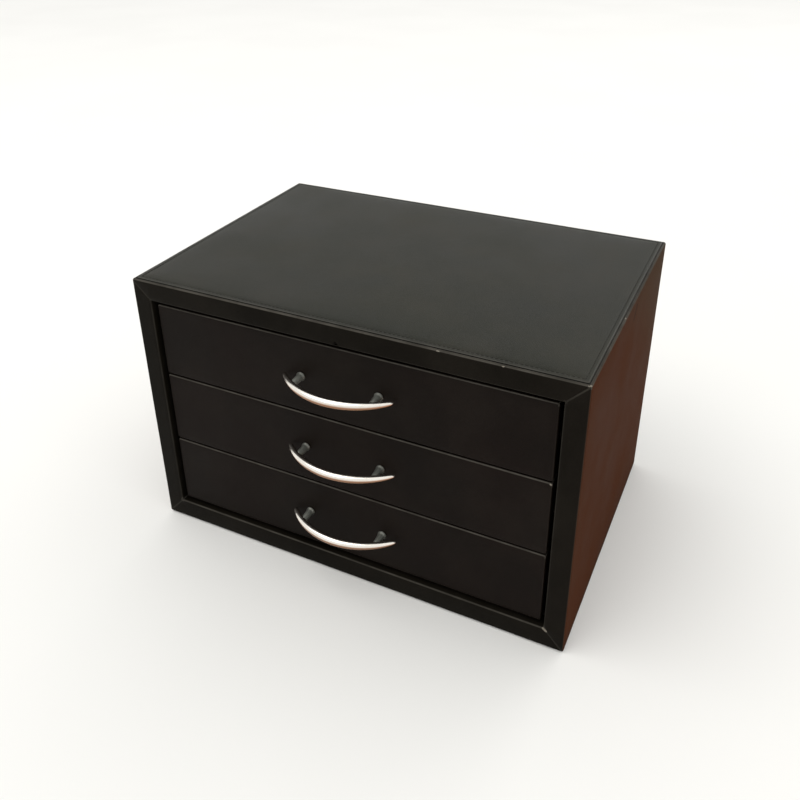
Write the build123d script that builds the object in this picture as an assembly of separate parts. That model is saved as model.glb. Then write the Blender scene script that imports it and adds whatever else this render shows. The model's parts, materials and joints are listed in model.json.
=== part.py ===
"""Table-top jewelry chest: a leather-covered case with three side-hung drawers.

Millimetres, +Z up, +X to the right of somebody facing the drawers, which open towards -Y.
The origin is the centre of the case's underside, on the surface that the chest stands on.
Each piece is one STEP file in parts/, named after the piece.
"""
import os
from math import asin, cos, sin

from build123d import *

# Case
CASE_WIDTH = 360.0
CASE_DEPTH = 243.0
CASE_HEIGHT = 232.0
LEATHER = 1.0  # thickness of every leather covering
SIDE_WALL = 16.0  # top, left and right walls at the front edge: leather, board, leather
BOTTOM_WALL = 17.5
EDGE_RADIUS = 2.0  # outer edges of the leather
OPENING_EDGE_RADIUS = 0.8  # edge of the leather round the drawer opening
FRONT_RETURN = 12.0  # how far the leather turns into the drawer opening
BACK_RETURN = 12.0  # how far the leather turns on to the back
BACK_SEAM = 0.4  # gap between the turned leather and the back leather
MITRE_SEAM = 0.15  # gap between the leathers that meet at a mitre
WEDGE_SHORTFALL = 0.5  # how far a wall's cutting wedge runs into the opening, as a share of the mitre
BACK_BOARD = 4.0
BACK_REBATE = 5.0  # width of the step that the back board sits in
BOARD_CLEARANCE = 0.2

# Top panel and base felt
TOP_RIM = 1.8  # leather lip that shows round the top panel
TOP_GROOVE = 0.8
TOP_PANEL = 1.6  # thickness of the stitched leather panel
TOP_PANEL_PROUD = 0.6
TOP_PANEL_EDGE = 0.7
BASE_FELT = 1.0
BASE_FELT_INSET = 4.0
BASE_FELT_CORNER = 6.0

# Drawers
DRAWERS = 3
FRONT_RECESS = 2.5  # drawer front behind the face of the case
GAP_ABOVE = 3.6
GAP_BELOW = 3.5
GAP_BETWEEN = 1.3
GAP_SIDE = 3.5
FRONT_BOARD = 12.0
FRONT_LEATHER_RETURN = 6.0  # leather turned on to the rear of a drawer front
BOX_WALL = 9.0
BOX_OVERHANG = 3.0  # drawer front wider than the box, each side
BOX_DEPTH = 210.0
BOX_HEIGHT = 50.0
BOX_RISE = 5.0  # bottom of the box above the bottom of the front
BOX_BOTTOM = 3.0
LINING = 1.2
LINING_BELOW_RIM = 1.0
FIT = 0.1  # gap round each piece that is laid in a drawer

# Runners
RUNNER_HEIGHT = 8.0
RUNNER_CENTRE = 30.0  # above the bottom of the drawer front
GROOVE_DEPTH = 4.0
GROOVE_PLAY = 0.3  # above and below the runner
GROOVE_END_PLAY = 0.5  # between the runner and the floor of its groove
RUNNER_FRONT_PLAY = 0.3
RUNNER_REAR_GAP = 4.5
RUNNER_SCREW_RADIUS = 1.5
RUNNER_SCREW_HEAD = 3.0
RUNNER_SCREW_BITE = 9.0  # length in the case wall
RUNNER_SCREW_INSET = 30.0  # from each end of the runner

# Compartments
DIVIDER = 4.0
DIVIDER_HEIGHT = 30.0
ROLLS = 8

# Bow handles
POST_SPACING = 64.0
POST_BASE_RADIUS = 3.0
POST_NECK_RADIUS = 2.3
BOW_HALF_SPAN = 44.0
BOW_REACH = 21.8  # centre line in the middle, in front of the drawer
BOW_TIP_REACH = 3.0
BOW_RADIUS = 3.3
BOW_TIP_RADIUS = 1.6
BOW_TAPER = 0.6
BOW_SECTIONS = 13
SCREW_RADIUS = 1.9
SCREW_HOLE_RADIUS = 2.0
SCREW_IN_POST = 7.0
SCREW_HOLE_IN_POST = 8.0
SCREW_HEAD_RADIUS = 3.8
SCREW_HEAD_HEIGHT = 2.4
SCREW_HEAD_EDGE = 1.0
SCREW_SLOT_WIDTH = 1.0
SCREW_SLOT_DEPTH = 1.2

BEYOND = 5.0  # how far a cutting block runs past what it cuts

# Worked out from the sizes above
HALF_WIDTH = CASE_WIDTH / 2
HALF_DEPTH = CASE_DEPTH / 2
CASE_BOTTOM = BASE_FELT
CASE_TOP = CASE_HEIGHT - TOP_PANEL_PROUD
FRONT = -HALF_DEPTH
OPENING_HALF_WIDTH = HALF_WIDTH - SIDE_WALL
OPENING_BOTTOM = CASE_BOTTOM + BOTTOM_WALL
OPENING_TOP = CASE_TOP - SIDE_WALL
INNER_HALF_WIDTH = OPENING_HALF_WIDTH + LEATHER
REAR_INSIDE = HALF_DEPTH - LEATHER - BACK_BOARD

FRONT_FACE = FRONT + FRONT_RECESS
FRONT_HALF_WIDTH = OPENING_HALF_WIDTH - GAP_SIDE
FRONT_STACK = OPENING_TOP - OPENING_BOTTOM - GAP_ABOVE - GAP_BELOW - GAP_BETWEEN * (DRAWERS - 1)
FRONT_HEIGHT = FRONT_STACK / DRAWERS
BOARD_REAR = FRONT_FACE + LEATHER + FRONT_BOARD
FRONT_REAR = BOARD_REAR + LEATHER
BOX_HALF_WIDTH = FRONT_HALF_WIDTH - BOX_OVERHANG
BOX_REAR = FRONT_REAR + BOX_DEPTH
BAY_HALF_WIDTH = BOX_HALF_WIDTH - BOX_WALL
LINED_HALF_WIDTH = BAY_HALF_WIDTH - FIT - LINING
LINED_FRONT = FRONT_REAR + FIT + LINING
LINED_REAR = BOX_REAR - BOX_WALL - FIT - LINING
LINED_FLOOR = BOX_RISE + BOX_BOTTOM + LINING  # above the bottom of the drawer front
LINED_TOP = BOX_RISE + BOX_HEIGHT - LINING_BELOW_RIM
RUNNER_INNER = BOX_HALF_WIDTH - GROOVE_DEPTH + GROOVE_END_PLAY
RUNNER_FRONT = FRONT_REAR + RUNNER_FRONT_PLAY
RUNNER_REAR = REAR_INSIDE - RUNNER_REAR_GAP
BOW_RISE = BOW_REACH - BOW_TIP_REACH
BOW_ARC_RADIUS = (BOW_HALF_SPAN**2 + BOW_RISE**2) / (2 * BOW_RISE)


def front_bottom(drawer):
    """Height of the bottom edge of a drawer front; drawer 1 is the top one."""
    return OPENING_TOP - GAP_ABOVE - FRONT_HEIGHT * drawer - GAP_BETWEEN * (drawer - 1)


def block(x_range, y_range, z_range):
    """Box between the given limits."""
    low = Vector(x_range[0], y_range[0], z_range[0])
    high = Vector(x_range[1], y_range[1], z_range[1])
    size = high - low
    return Pos(*(low + size / 2)) * Box(size.X, size.Y, size.Z)


def both_ways(half):
    """Range that is centred on zero."""
    return (-half, half)


def rod(start, radius, length, direction, end_radius=None):
    """Round bar or cone from a start point along a direction."""
    end = radius if end_radius is None else end_radius
    turn = Plane(origin=start, z_dir=direction)
    if end == radius:
        return turn * Cylinder(radius, length, align=(Align.CENTER, Align.CENTER, Align.MIN))
    return turn * Cone(radius, end, length, align=(Align.CENTER, Align.CENTER, Align.MIN))


def save(name, *solids):
    """Write one piece, or a group of separate solids, to its STEP file."""
    shape = solids[0] if len(solids) == 1 else Compound(children=list(solids))
    export_step(shape, f"parts/{name}.step")


# ---------------------------------------------------------------- case


def mitre_wedge(side, seam):
    """Prism that keeps one wall of the case, half a seam short of the mitres at its two corners."""
    left, right = -1, 1
    ends = {
        "bottom": [(left, 0), (right, 0)],
        "right": [(right, 0), (right, 1)],
        "top": [(right, 1), (left, 1)],
        "left": [(left, 1), (left, 0)],
    }[side]
    points = []
    for sign, level in ends:
        out_point = Vector(sign * HALF_WIDTH, 0, CASE_TOP if level else CASE_BOTTOM)
        in_point = Vector(sign * OPENING_HALF_WIDTH, 0, OPENING_TOP if level else OPENING_BOTTOM)
        reach = out_point - in_point
        points.append((out_point + reach, in_point - reach * WEDGE_SHORTFALL))
    face = make_face(Polyline(points[0][0], points[1][0], points[1][1], points[0][1], close=True))
    if seam:
        face = offset(face, amount=-seam / 2, kind=Kind.INTERSECTION)
    return extrude(face, amount=CASE_DEPTH, dir=(0, 1, 0), both=True)


def case_boards():
    """The four walls of the case as one ring, before its mitres are cut."""
    ring = block(
        both_ways(HALF_WIDTH - LEATHER),
        both_ways(HALF_DEPTH - LEATHER),
        (CASE_BOTTOM + LEATHER, CASE_TOP - LEATHER),
    )
    hollow = block(
        both_ways(INNER_HALF_WIDTH),
        both_ways(HALF_DEPTH + BEYOND),
        (OPENING_BOTTOM - LEATHER, OPENING_TOP + LEATHER),
    )
    rebate = block(
        both_ways(INNER_HALF_WIDTH + BACK_REBATE),
        (REAR_INSIDE, HALF_DEPTH + BEYOND),
        (OPENING_BOTTOM - LEATHER - BACK_REBATE, OPENING_TOP + LEATHER + BACK_REBATE),
    )
    return ring - hollow - rebate


def case_leather():
    """The leather over the four walls as one skin, before its mitres are cut."""
    outside = block(both_ways(HALF_WIDTH), both_ways(HALF_DEPTH), (CASE_BOTTOM, CASE_TOP))
    skin = fillet(outside.edges(), EDGE_RADIUS)
    skin -= block(
        both_ways(HALF_WIDTH - LEATHER),
        both_ways(HALF_DEPTH - LEATHER),
        (CASE_BOTTOM + LEATHER, CASE_TOP - LEATHER),
    )
    skin -= block(
        both_ways(HALF_WIDTH - TOP_RIM),
        both_ways(HALF_DEPTH - TOP_RIM),
        (CASE_TOP - LEATHER, CASE_TOP + BEYOND),
    )
    skin -= block(
        both_ways(HALF_WIDTH - BACK_RETURN),
        (HALF_DEPTH - LEATHER, HALF_DEPTH + BEYOND),
        (CASE_BOTTOM + BACK_RETURN, CASE_TOP - BACK_RETURN),
    )
    turned_in = block(
        both_ways(INNER_HALF_WIDTH),
        (FRONT + LEATHER, FRONT + FRONT_RETURN),
        (OPENING_BOTTOM - LEATHER, OPENING_TOP + LEATHER),
    )
    opening = block(
        both_ways(OPENING_HALF_WIDTH),
        (FRONT - BEYOND, FRONT + FRONT_RETURN + BEYOND),
        (OPENING_BOTTOM, OPENING_TOP),
    )
    skin = skin + turned_in - opening
    face_edges = skin.edges().filter_by_position(Axis.Y, FRONT - FIT, FRONT + FIT)
    opening_edges = face_edges.filter_by_position(
        Axis.X, -OPENING_HALF_WIDTH - FIT, OPENING_HALF_WIDTH + FIT
    ).filter_by_position(Axis.Z, OPENING_BOTTOM - FIT, OPENING_TOP + FIT)
    return fillet(opening_edges, OPENING_EDGE_RADIUS)


def back_board():
    """Thin board that closes the back, in its rebate."""
    wide = INNER_HALF_WIDTH + BACK_REBATE - BOARD_CLEARANCE
    low = OPENING_BOTTOM - LEATHER - BACK_REBATE + BOARD_CLEARANCE
    high = OPENING_TOP + LEATHER + BACK_REBATE - BOARD_CLEARANCE
    return block(both_ways(wide), (REAR_INSIDE, HALF_DEPTH - LEATHER), (low, high))


def back_leather():
    """Leather sheet on the back, inside the turned edges."""
    wide = HALF_WIDTH - BACK_RETURN - BACK_SEAM
    levels = (CASE_BOTTOM + BACK_RETURN + BACK_SEAM, CASE_TOP - BACK_RETURN - BACK_SEAM)
    return block(both_ways(wide), (HALF_DEPTH - LEATHER, HALF_DEPTH), levels)


def top_leather_panel():
    """Stitched leather panel on the top, inside the leather lip."""
    inset = TOP_RIM + TOP_GROOVE
    panel = block(
        both_ways(HALF_WIDTH - inset),
        both_ways(HALF_DEPTH - inset),
        (CASE_HEIGHT - TOP_PANEL, CASE_HEIGHT),
    )
    return fillet(panel.faces().sort_by(Axis.Z)[-1].edges(), TOP_PANEL_EDGE)


def base_felt():
    """Felt sheet that the chest stands on."""
    felt = block(
        both_ways(HALF_WIDTH - BASE_FELT_INSET),
        both_ways(HALF_DEPTH - BASE_FELT_INSET),
        (0, BASE_FELT),
    )
    return fillet(felt.edges().filter_by(Axis.Z), BASE_FELT_CORNER)


def runner_screw(side, y, z):
    """Countersunk wood screw through a runner into the case wall; side is -1 or 1."""
    outward = (side, 0, 0)
    head = rod((side * RUNNER_INNER, y, z), RUNNER_SCREW_HEAD, RUNNER_SCREW_RADIUS, outward, RUNNER_SCREW_RADIUS)
    length = INNER_HALF_WIDTH - RUNNER_INNER + RUNNER_SCREW_BITE
    return head + rod((side * RUNNER_INNER, y, z), RUNNER_SCREW_RADIUS, length, outward)


def runner_height(drawer):
    """Height of a runner's centre line."""
    return front_bottom(drawer) + RUNNER_CENTRE


def runner(side, drawer):
    """Hardwood strip that one side of a drawer slides on."""
    level = runner_height(drawer)
    limits = sorted((side * RUNNER_INNER, side * INNER_HALF_WIDTH))
    heights = (level - RUNNER_HEIGHT / 2, level + RUNNER_HEIGHT / 2)
    return block(limits, (RUNNER_FRONT, RUNNER_REAR), heights)


def screw_depths():
    """Front and rear screw of a runner."""
    return (RUNNER_FRONT + RUNNER_SCREW_INSET, RUNNER_REAR - RUNNER_SCREW_INSET)


def write_case():
    """Write every piece of the case."""
    sides = {"left": -1, "right": 1}
    screws = {}
    for side, sign in sides.items():
        screws[side] = [
            runner_screw(sign, y, runner_height(drawer))
            for drawer in range(1, DRAWERS + 1)
            for y in screw_depths()
        ]
    boards = case_boards()
    leather = case_leather()
    for side in ("top", "bottom", "left", "right"):
        board = boards & mitre_wedge(side, 0)
        for screw in screws.get(side, []):
            board -= screw
        save(f"{side}_board", board)
        name = "top_edge_leather" if side == "top" else f"{side}_leather"
        save(name, leather & mitre_wedge(side, MITRE_SEAM))
    save("back_board", back_board())
    save("back_leather", back_leather())
    save("top_leather_panel", top_leather_panel())
    save("base_felt", base_felt())
    for side, sign in sides.items():
        for drawer in range(1, DRAWERS + 1):
            strip = runner(sign, drawer)
            for screw in screws[side]:
                strip -= screw
            save(f"drawer_{drawer}_{side}_runner", strip)
        save(f"{side}_runner_screws", *screws[side])


# ---------------------------------------------------------------- drawers


def screw_places(drawer):
    """Centres of the two handle screws, on the rear of the front board."""
    level = front_bottom(drawer) + FRONT_HEIGHT / 2
    return [(sign * POST_SPACING / 2, BOARD_REAR, level) for sign in (-1, 1)]


def screw_holes(drawer, radius):
    """Rods that cut the two handle screw holes through whatever they meet."""
    reach = BOARD_REAR - FRONT_FACE + 2 * BEYOND
    return [rod((x, y + BEYOND, z), radius, reach, (0, -1, 0)) for x, y, z in screw_places(drawer)]


def front_board(drawer):
    """Board of a drawer front."""
    low = front_bottom(drawer)
    board = block(
        both_ways(FRONT_HALF_WIDTH - LEATHER),
        (FRONT_FACE + LEATHER, BOARD_REAR),
        (low + LEATHER, low + FRONT_HEIGHT - LEATHER),
    )
    for hole in screw_holes(drawer, SCREW_HOLE_RADIUS):
        board -= hole
    return board


def front_leather(drawer):
    """Leather over a drawer front, turned on to the rear all round."""
    low = front_bottom(drawer)
    outside = block(both_ways(FRONT_HALF_WIDTH), (FRONT_FACE, FRONT_REAR), (low, low + FRONT_HEIGHT))
    skin = fillet(outside.edges(), EDGE_RADIUS - FIT)
    skin -= block(
        both_ways(FRONT_HALF_WIDTH - LEATHER),
        (FRONT_FACE + LEATHER, BOARD_REAR),
        (low + LEATHER, low + FRONT_HEIGHT - LEATHER),
    )
    skin -= block(
        both_ways(FRONT_HALF_WIDTH - FRONT_LEATHER_RETURN),
        (BOARD_REAR, FRONT_REAR + BEYOND),
        (low + FRONT_LEATHER_RETURN, low + FRONT_HEIGHT - FRONT_LEATHER_RETURN),
    )
    for hole in screw_holes(drawer, SCREW_HOLE_RADIUS):
        skin -= hole
    return skin


def box_side(side, drawer):
    """Side of a drawer box, with the groove for its runner; side is -1 or 1."""
    low = front_bottom(drawer) + BOX_RISE
    limits = sorted((side * BAY_HALF_WIDTH, side * BOX_HALF_WIDTH))
    board = block(limits, (FRONT_REAR, BOX_REAR), (low, low + BOX_HEIGHT))
    level = runner_height(drawer)
    half = RUNNER_HEIGHT / 2 + GROOVE_PLAY
    groove_limits = sorted((side * (BOX_HALF_WIDTH - GROOVE_DEPTH), side * (BOX_HALF_WIDTH + BEYOND)))
    return board - block(groove_limits, (FRONT_REAR - BEYOND, BOX_REAR + BEYOND), (level - half, level + half))


def box_back(drawer):
    """Back of a drawer box, between its sides."""
    low = front_bottom(drawer) + BOX_RISE
    return block(both_ways(BAY_HALF_WIDTH), (BOX_REAR - BOX_WALL, BOX_REAR), (low, low + BOX_HEIGHT))


def box_bottom(drawer):
    """Thin bottom of a drawer box, between its walls."""
    low = front_bottom(drawer) + BOX_RISE
    depths = (FRONT_REAR + FIT, BOX_REAR - BOX_WALL)
    return block(both_ways(BAY_HALF_WIDTH), depths, (low, low + BOX_BOTTOM))


def lining(drawer):
    """Velvet lining: a thin open tray with holes for the handle's screw heads."""
    low = front_bottom(drawer)
    outside = block(
        both_ways(BAY_HALF_WIDTH - FIT),
        (FRONT_REAR + FIT, BOX_REAR - BOX_WALL - FIT),
        (low + LINED_FLOOR - LINING, low + LINED_TOP),
    )
    inside = block(
        both_ways(LINED_HALF_WIDTH),
        (LINED_FRONT, LINED_REAR),
        (low + LINED_FLOOR, low + LINED_TOP + BEYOND),
    )
    tray = outside - inside
    for hole in screw_holes(drawer, SCREW_HEAD_RADIUS + FIT):
        tray -= hole
    return tray


def strip_along_depth(drawer, x, y_range):
    """Divider that runs front to back."""
    low = front_bottom(drawer) + LINED_FLOOR + FIT
    return block((x - DIVIDER / 2, x + DIVIDER / 2), y_range, (low, low + DIVIDER_HEIGHT))


def strip_across(drawer, x_range, y):
    """Divider that runs left to right."""
    low = front_bottom(drawer) + LINED_FLOOR + FIT
    return block(x_range, (y - DIVIDER / 2, y + DIVIDER / 2), (low, low + DIVIDER_HEIGHT))


BAY_MIDDLE = (LINED_FRONT + LINED_REAR) / 2
BAY_DEPTH_RANGE = (LINED_FRONT + FIT, LINED_REAR - FIT)
CLEAR_OF_STRIP = DIVIDER / 2 + FIT


def rings_dividers(drawer):
    """Dividers beside the ring rolls: one full-depth strip and a cross that makes four bays."""
    quarter = LINED_HALF_WIDTH / 2
    front_part = (BAY_DEPTH_RANGE[0], BAY_MIDDLE - CLEAR_OF_STRIP)
    rear_part = (BAY_MIDDLE + CLEAR_OF_STRIP, BAY_DEPTH_RANGE[1])
    return [
        strip_along_depth(drawer, 0, BAY_DEPTH_RANGE),
        strip_across(drawer, (CLEAR_OF_STRIP, LINED_HALF_WIDTH - FIT), BAY_MIDDLE),
        strip_along_depth(drawer, quarter, front_part),
        strip_along_depth(drawer, quarter, rear_part),
    ]


def grid_dividers(drawer):
    """Three full-depth strips with short strips between them, for eight bays."""
    pitch = LINED_HALF_WIDTH / 2
    strips = [strip_along_depth(drawer, column * pitch, BAY_DEPTH_RANGE) for column in (-1, 0, 1)]
    for column in range(-2, 2):
        start = max(column * pitch + CLEAR_OF_STRIP, -LINED_HALF_WIDTH + FIT)
        end = min((column + 1) * pitch - CLEAR_OF_STRIP, LINED_HALF_WIDTH - FIT)
        strips.append(strip_across(drawer, (start, end), BAY_MIDDLE))
    return strips


def wide_dividers(drawer):
    """Two full-depth strips, for three wide bays."""
    third = LINED_HALF_WIDTH / 3
    return [strip_along_depth(drawer, sign * third, BAY_DEPTH_RANGE) for sign in (-1, 1)]


def ring_rolls(drawer):
    """Row of soft rolls that rings are pushed between, left of the full-depth strip."""
    pitch = (LINED_REAR - LINED_FRONT) / ROLLS
    radius = pitch / 2 - FIT
    start = -LINED_HALF_WIDTH + FIT
    length = LINED_HALF_WIDTH - CLEAR_OF_STRIP - FIT
    level = front_bottom(drawer) + LINED_FLOOR + FIT + radius
    return [rod((start, LINED_FRONT + pitch * (n + 0.5), level), radius, length, (1, 0, 0)) for n in range(ROLLS)]


def bow_point(turn):
    """Point on the bow's centre line at an angle from its middle, and its direction there."""
    x = BOW_ARC_RADIUS * sin(turn)
    reach = BOW_REACH - BOW_ARC_RADIUS * (1 - cos(turn))
    return (x, FRONT_FACE - reach), (cos(turn), sin(turn))


def handle(drawer):
    """Cast bow handle: a tapered bow on two posts that are tapped for the screws."""
    level = front_bottom(drawer) + FRONT_HEIGHT / 2
    end_turn = asin(BOW_HALF_SPAN / BOW_ARC_RADIUS)
    sections = []
    for number in range(BOW_SECTIONS):
        turn = end_turn * (2 * number / (BOW_SECTIONS - 1) - 1)
        (x, y), (run_x, run_y) = bow_point(turn)
        along = min(abs(x) / BOW_HALF_SPAN, 1)
        radius = BOW_TIP_RADIUS + (BOW_RADIUS - BOW_TIP_RADIUS) * (1 - along**2) ** BOW_TAPER
        sections.append(Plane(origin=(x, y, level), z_dir=(run_x, run_y, 0)) * Circle(radius))
    pull = loft(sections)
    for turn in (-end_turn, end_turn):
        (x, y), _ = bow_point(turn)
        pull += Pos(x, y, level) * Sphere(BOW_TIP_RADIUS)
    post_turn = asin(POST_SPACING / 2 / BOW_ARC_RADIUS)
    for sign in (-1, 1):
        (x, y), _ = bow_point(sign * post_turn)
        pull += rod((x, FRONT_FACE, level), POST_BASE_RADIUS, FRONT_FACE - y, (0, -1, 0), POST_NECK_RADIUS)
    for sign in (-1, 1):
        start = (sign * POST_SPACING / 2, FRONT_FACE, level)
        pull -= rod(start, SCREW_HOLE_RADIUS, SCREW_HOLE_IN_POST, (0, -1, 0))
    return pull


def handle_screw(place):
    """Machine screw from the rear of the front board into a post."""
    x, y, z = place
    shank = rod(place, SCREW_RADIUS, BOARD_REAR - FRONT_FACE + SCREW_IN_POST, (0, -1, 0))
    head = rod(place, SCREW_HEAD_RADIUS, SCREW_HEAD_HEIGHT, (0, 1, 0))
    head = fillet(head.edges().sort_by(Axis.Y)[-1], SCREW_HEAD_EDGE)
    head_top = y + SCREW_HEAD_HEIGHT
    slot_depths = (head_top - SCREW_SLOT_DEPTH, head_top + BEYOND)
    for wide, high in ((SCREW_HEAD_RADIUS, SCREW_SLOT_WIDTH), (SCREW_SLOT_WIDTH, SCREW_HEAD_RADIUS)):
        head -= block((x - wide / 2, x + wide / 2), slot_depths, (z - high / 2, z + high / 2))
    return head + shank


def write_drawer(drawer, dividers):
    """Write every piece of one drawer."""
    save(f"drawer_{drawer}_front_board", front_board(drawer))
    save(f"drawer_{drawer}_front_leather", front_leather(drawer))
    save(f"drawer_{drawer}_left_side", box_side(-1, drawer))
    save(f"drawer_{drawer}_right_side", box_side(1, drawer))
    save(f"drawer_{drawer}_back", box_back(drawer))
    save(f"drawer_{drawer}_bottom", box_bottom(drawer))
    save(f"drawer_{drawer}_lining", lining(drawer))
    save(f"drawer_{drawer}_dividers", *dividers(drawer))
    save(f"drawer_{drawer}_handle", handle(drawer))
    save(f"drawer_{drawer}_handle_screws", *[handle_screw(place) for place in screw_places(drawer)])


os.makedirs("parts", exist_ok=True)
write_case()
for drawer_number, layout in enumerate((rings_dividers, grid_dividers, wide_dividers), start=1):
    write_drawer(drawer_number, layout)
save("drawer_1_ring_rolls", *ring_rolls(1))
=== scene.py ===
"""Looks of a table-top jewelry chest: leather, stitching, velvet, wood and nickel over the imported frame.

Metres, +Z up, drawers opening towards -Y. Every place comes from the frame's own boxes.
"""
import json
import logging
import math
from collections.abc import Callable, Iterable, Iterator
from contextlib import contextmanager
from dataclasses import dataclass, field
from enum import Enum
from typing import Any

import bmesh
import bpy
from mathutils import Euler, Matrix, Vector

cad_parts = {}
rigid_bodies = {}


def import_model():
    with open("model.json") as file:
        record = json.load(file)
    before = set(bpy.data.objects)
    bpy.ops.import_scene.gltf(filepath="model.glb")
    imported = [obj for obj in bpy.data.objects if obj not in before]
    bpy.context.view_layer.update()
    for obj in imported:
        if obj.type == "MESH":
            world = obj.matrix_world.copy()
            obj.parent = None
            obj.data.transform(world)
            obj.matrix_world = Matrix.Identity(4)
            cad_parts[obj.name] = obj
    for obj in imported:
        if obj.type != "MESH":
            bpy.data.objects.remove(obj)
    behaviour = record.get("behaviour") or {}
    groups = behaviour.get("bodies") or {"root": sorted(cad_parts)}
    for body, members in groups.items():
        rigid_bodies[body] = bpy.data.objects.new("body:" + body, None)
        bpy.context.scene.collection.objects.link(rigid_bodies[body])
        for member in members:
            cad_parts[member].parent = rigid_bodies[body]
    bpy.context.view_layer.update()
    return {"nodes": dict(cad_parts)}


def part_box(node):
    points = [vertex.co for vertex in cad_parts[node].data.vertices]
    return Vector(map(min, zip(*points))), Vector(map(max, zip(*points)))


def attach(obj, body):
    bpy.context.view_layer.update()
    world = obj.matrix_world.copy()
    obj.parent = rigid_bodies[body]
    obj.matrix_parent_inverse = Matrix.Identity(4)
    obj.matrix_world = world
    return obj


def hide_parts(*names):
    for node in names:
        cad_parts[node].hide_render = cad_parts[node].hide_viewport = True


LOG = logging.getLogger("jewelry_chest")
MM = 0.001
# attribute that places the painted reflection on the handles' undersides
UNDERSIDE = "underside"
POST = "post"
SKIN_SHARE = 0.95  # share of its CAD thickness that a leather sheet has
CUT_ROUND = 0.3 * MM  # rounding of a cut leather edge
CLEAN_MERGE = 0.01 * MM  # points nearer than this are one


class Axis(Enum):
    """An axis of the chest, by its place in a vector."""

    X = 0
    Y = 1
    Z = 2

    @property
    def unit(self) -> Vector:
        """Unit vector along the axis."""
        return Vector([1.0 if place == self.value else 0.0 for place in range(3)])


class Element(Enum):
    """Part of a mesh that a selection picks."""

    VERTEX = "VERT"
    EDGE = "EDGE"
    FACE = "FACE"


class Wall(Enum):
    """One of the four mitred walls of the case, by its node."""

    LEFT = "left_leather"
    RIGHT = "right_leather"
    TOP = "top_edge_leather"
    BOTTOM = "bottom_leather"


class Body(Enum):
    """Body that a piece rides on."""

    CASE = "case"
    DRAWER_1 = "drawer_1"
    DRAWER_2 = "drawer_2"
    DRAWER_3 = "drawer_3"


# ---------------------------------------------------------------- modelling


@dataclass(frozen=True)
class Box:
    """Axis-aligned box between two corners, in metres."""

    low: Vector
    high: Vector

    @classmethod
    def of_nodes(cls, *nodes: str) -> "Box":
        """Smallest box round some CAD nodes.

        Args:
            nodes: Names of the CAD nodes.

        Returns:
            The box that holds them all.
        """
        corners = [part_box(node) for node in nodes]
        low = Vector([min(low[n] for low, _ in corners) for n in range(3)])
        high = Vector([max(high[n] for _, high in corners) for n in range(3)])
        return cls(low, high)

    @property
    def centre(self) -> Vector:
        """Middle of the box."""
        return (self.low + self.high) / 2

    @property
    def size(self) -> Vector:
        """Length of the box along each axis."""
        return self.high - self.low

    def grown(self, amount: float) -> "Box":
        """The box with every side moved outwards by an amount."""
        step = Vector((amount, amount, amount))
        return Box(self.low - step, self.high + step)


def deselect_all() -> None:
    """Deselect every object."""
    for item in bpy.context.view_layer.objects:
        item.select_set(False)


def activate(piece: bpy.types.Object) -> None:
    """Make one object the only selected and the active one.

    Args:
        piece: Object to work on next.
    """
    deselect_all()
    piece.select_set(True)
    bpy.context.view_layer.objects.active = piece


@contextmanager
def editing(piece: bpy.types.Object) -> Iterator[None]:
    """Edit mode on one object, left again at the end.

    Args:
        piece: Object to edit.

    Returns:
        Nothing that is used; the work goes inside the with block.
    """
    activate(piece)
    bpy.ops.object.mode_set(mode="EDIT")
    yield
    bpy.ops.object.mode_set(mode="OBJECT")


def pick(piece: bpy.types.Object, element: Element, test: Callable[[Any], bool]) -> int:
    """Select the elements of a mesh in edit mode that pass a test.

    Args:
        piece: Object in edit mode.
        element: Kind of element to test.
        test: Says whether a bmesh element is wanted.

    Returns:
        How many elements were selected.
    """
    bpy.ops.mesh.select_mode(type=element.value)
    bpy.ops.mesh.select_all(action="DESELECT")
    mesh = bmesh.from_edit_mesh(piece.data)
    groups = {Element.VERTEX: mesh.verts, Element.EDGE: mesh.edges, Element.FACE: mesh.faces}
    wanted = [item for item in groups[element] if test(item)]
    for item in wanted:
        item.select_set(True)
    bmesh.update_edit_mesh(piece.data)
    return len(wanted)


def middle(edge: bmesh.types.BMEdge) -> Vector:
    """Midpoint of an edge."""
    return (edge.verts[0].co + edge.verts[1].co) / 2


def cut_at(axis: Axis, places: Iterable[float]) -> None:
    """Cut the mesh in edit mode by planes across an axis.

    Args:
        axis: Axis that the planes are square to.
        places: Where the planes stand on that axis.
    """
    for place in places:
        bpy.ops.mesh.select_all(action="SELECT")
        bpy.ops.mesh.bisect(plane_co=axis.unit * place, plane_no=axis.unit)


def evenly(low: float, high: float, step: float) -> list[float]:
    """Places between two limits, near a given step apart, without the limits.

    Args:
        low: Lower limit.
        high: Upper limit.
        step: Wanted distance between places.

    Returns:
        The places, in order.
    """
    count = max(1, round((high - low) / step))
    return [low + (high - low) * number / count for number in range(1, count)]


def block(name: str, box: Box) -> bpy.types.Object:
    """Cuboid that fills a box, with its place in its mesh.

    Args:
        name: Name of the new object.
        box: Room that it takes.

    Returns:
        The new object.
    """
    deselect_all()
    bpy.ops.mesh.primitive_cube_add(size=1.0, location=box.centre, scale=box.size)
    piece = bpy.context.active_object
    piece.name = name
    settle(piece)
    return piece


def settle(piece: bpy.types.Object) -> None:
    """Put an object's place, turn and scale into its mesh."""
    activate(piece)
    bpy.ops.object.transform_apply(location=True, rotation=True, scale=True)


def copy_of(piece: bpy.types.Object, name: str) -> bpy.types.Object:
    """Copy an object with a mesh of its own.

    Args:
        piece: Object to copy.
        name: Name of the copy.

    Returns:
        The copy.
    """
    activate(piece)
    bpy.ops.object.duplicate(linked=False)
    twin = bpy.context.active_object
    twin.name = name
    return twin


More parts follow.
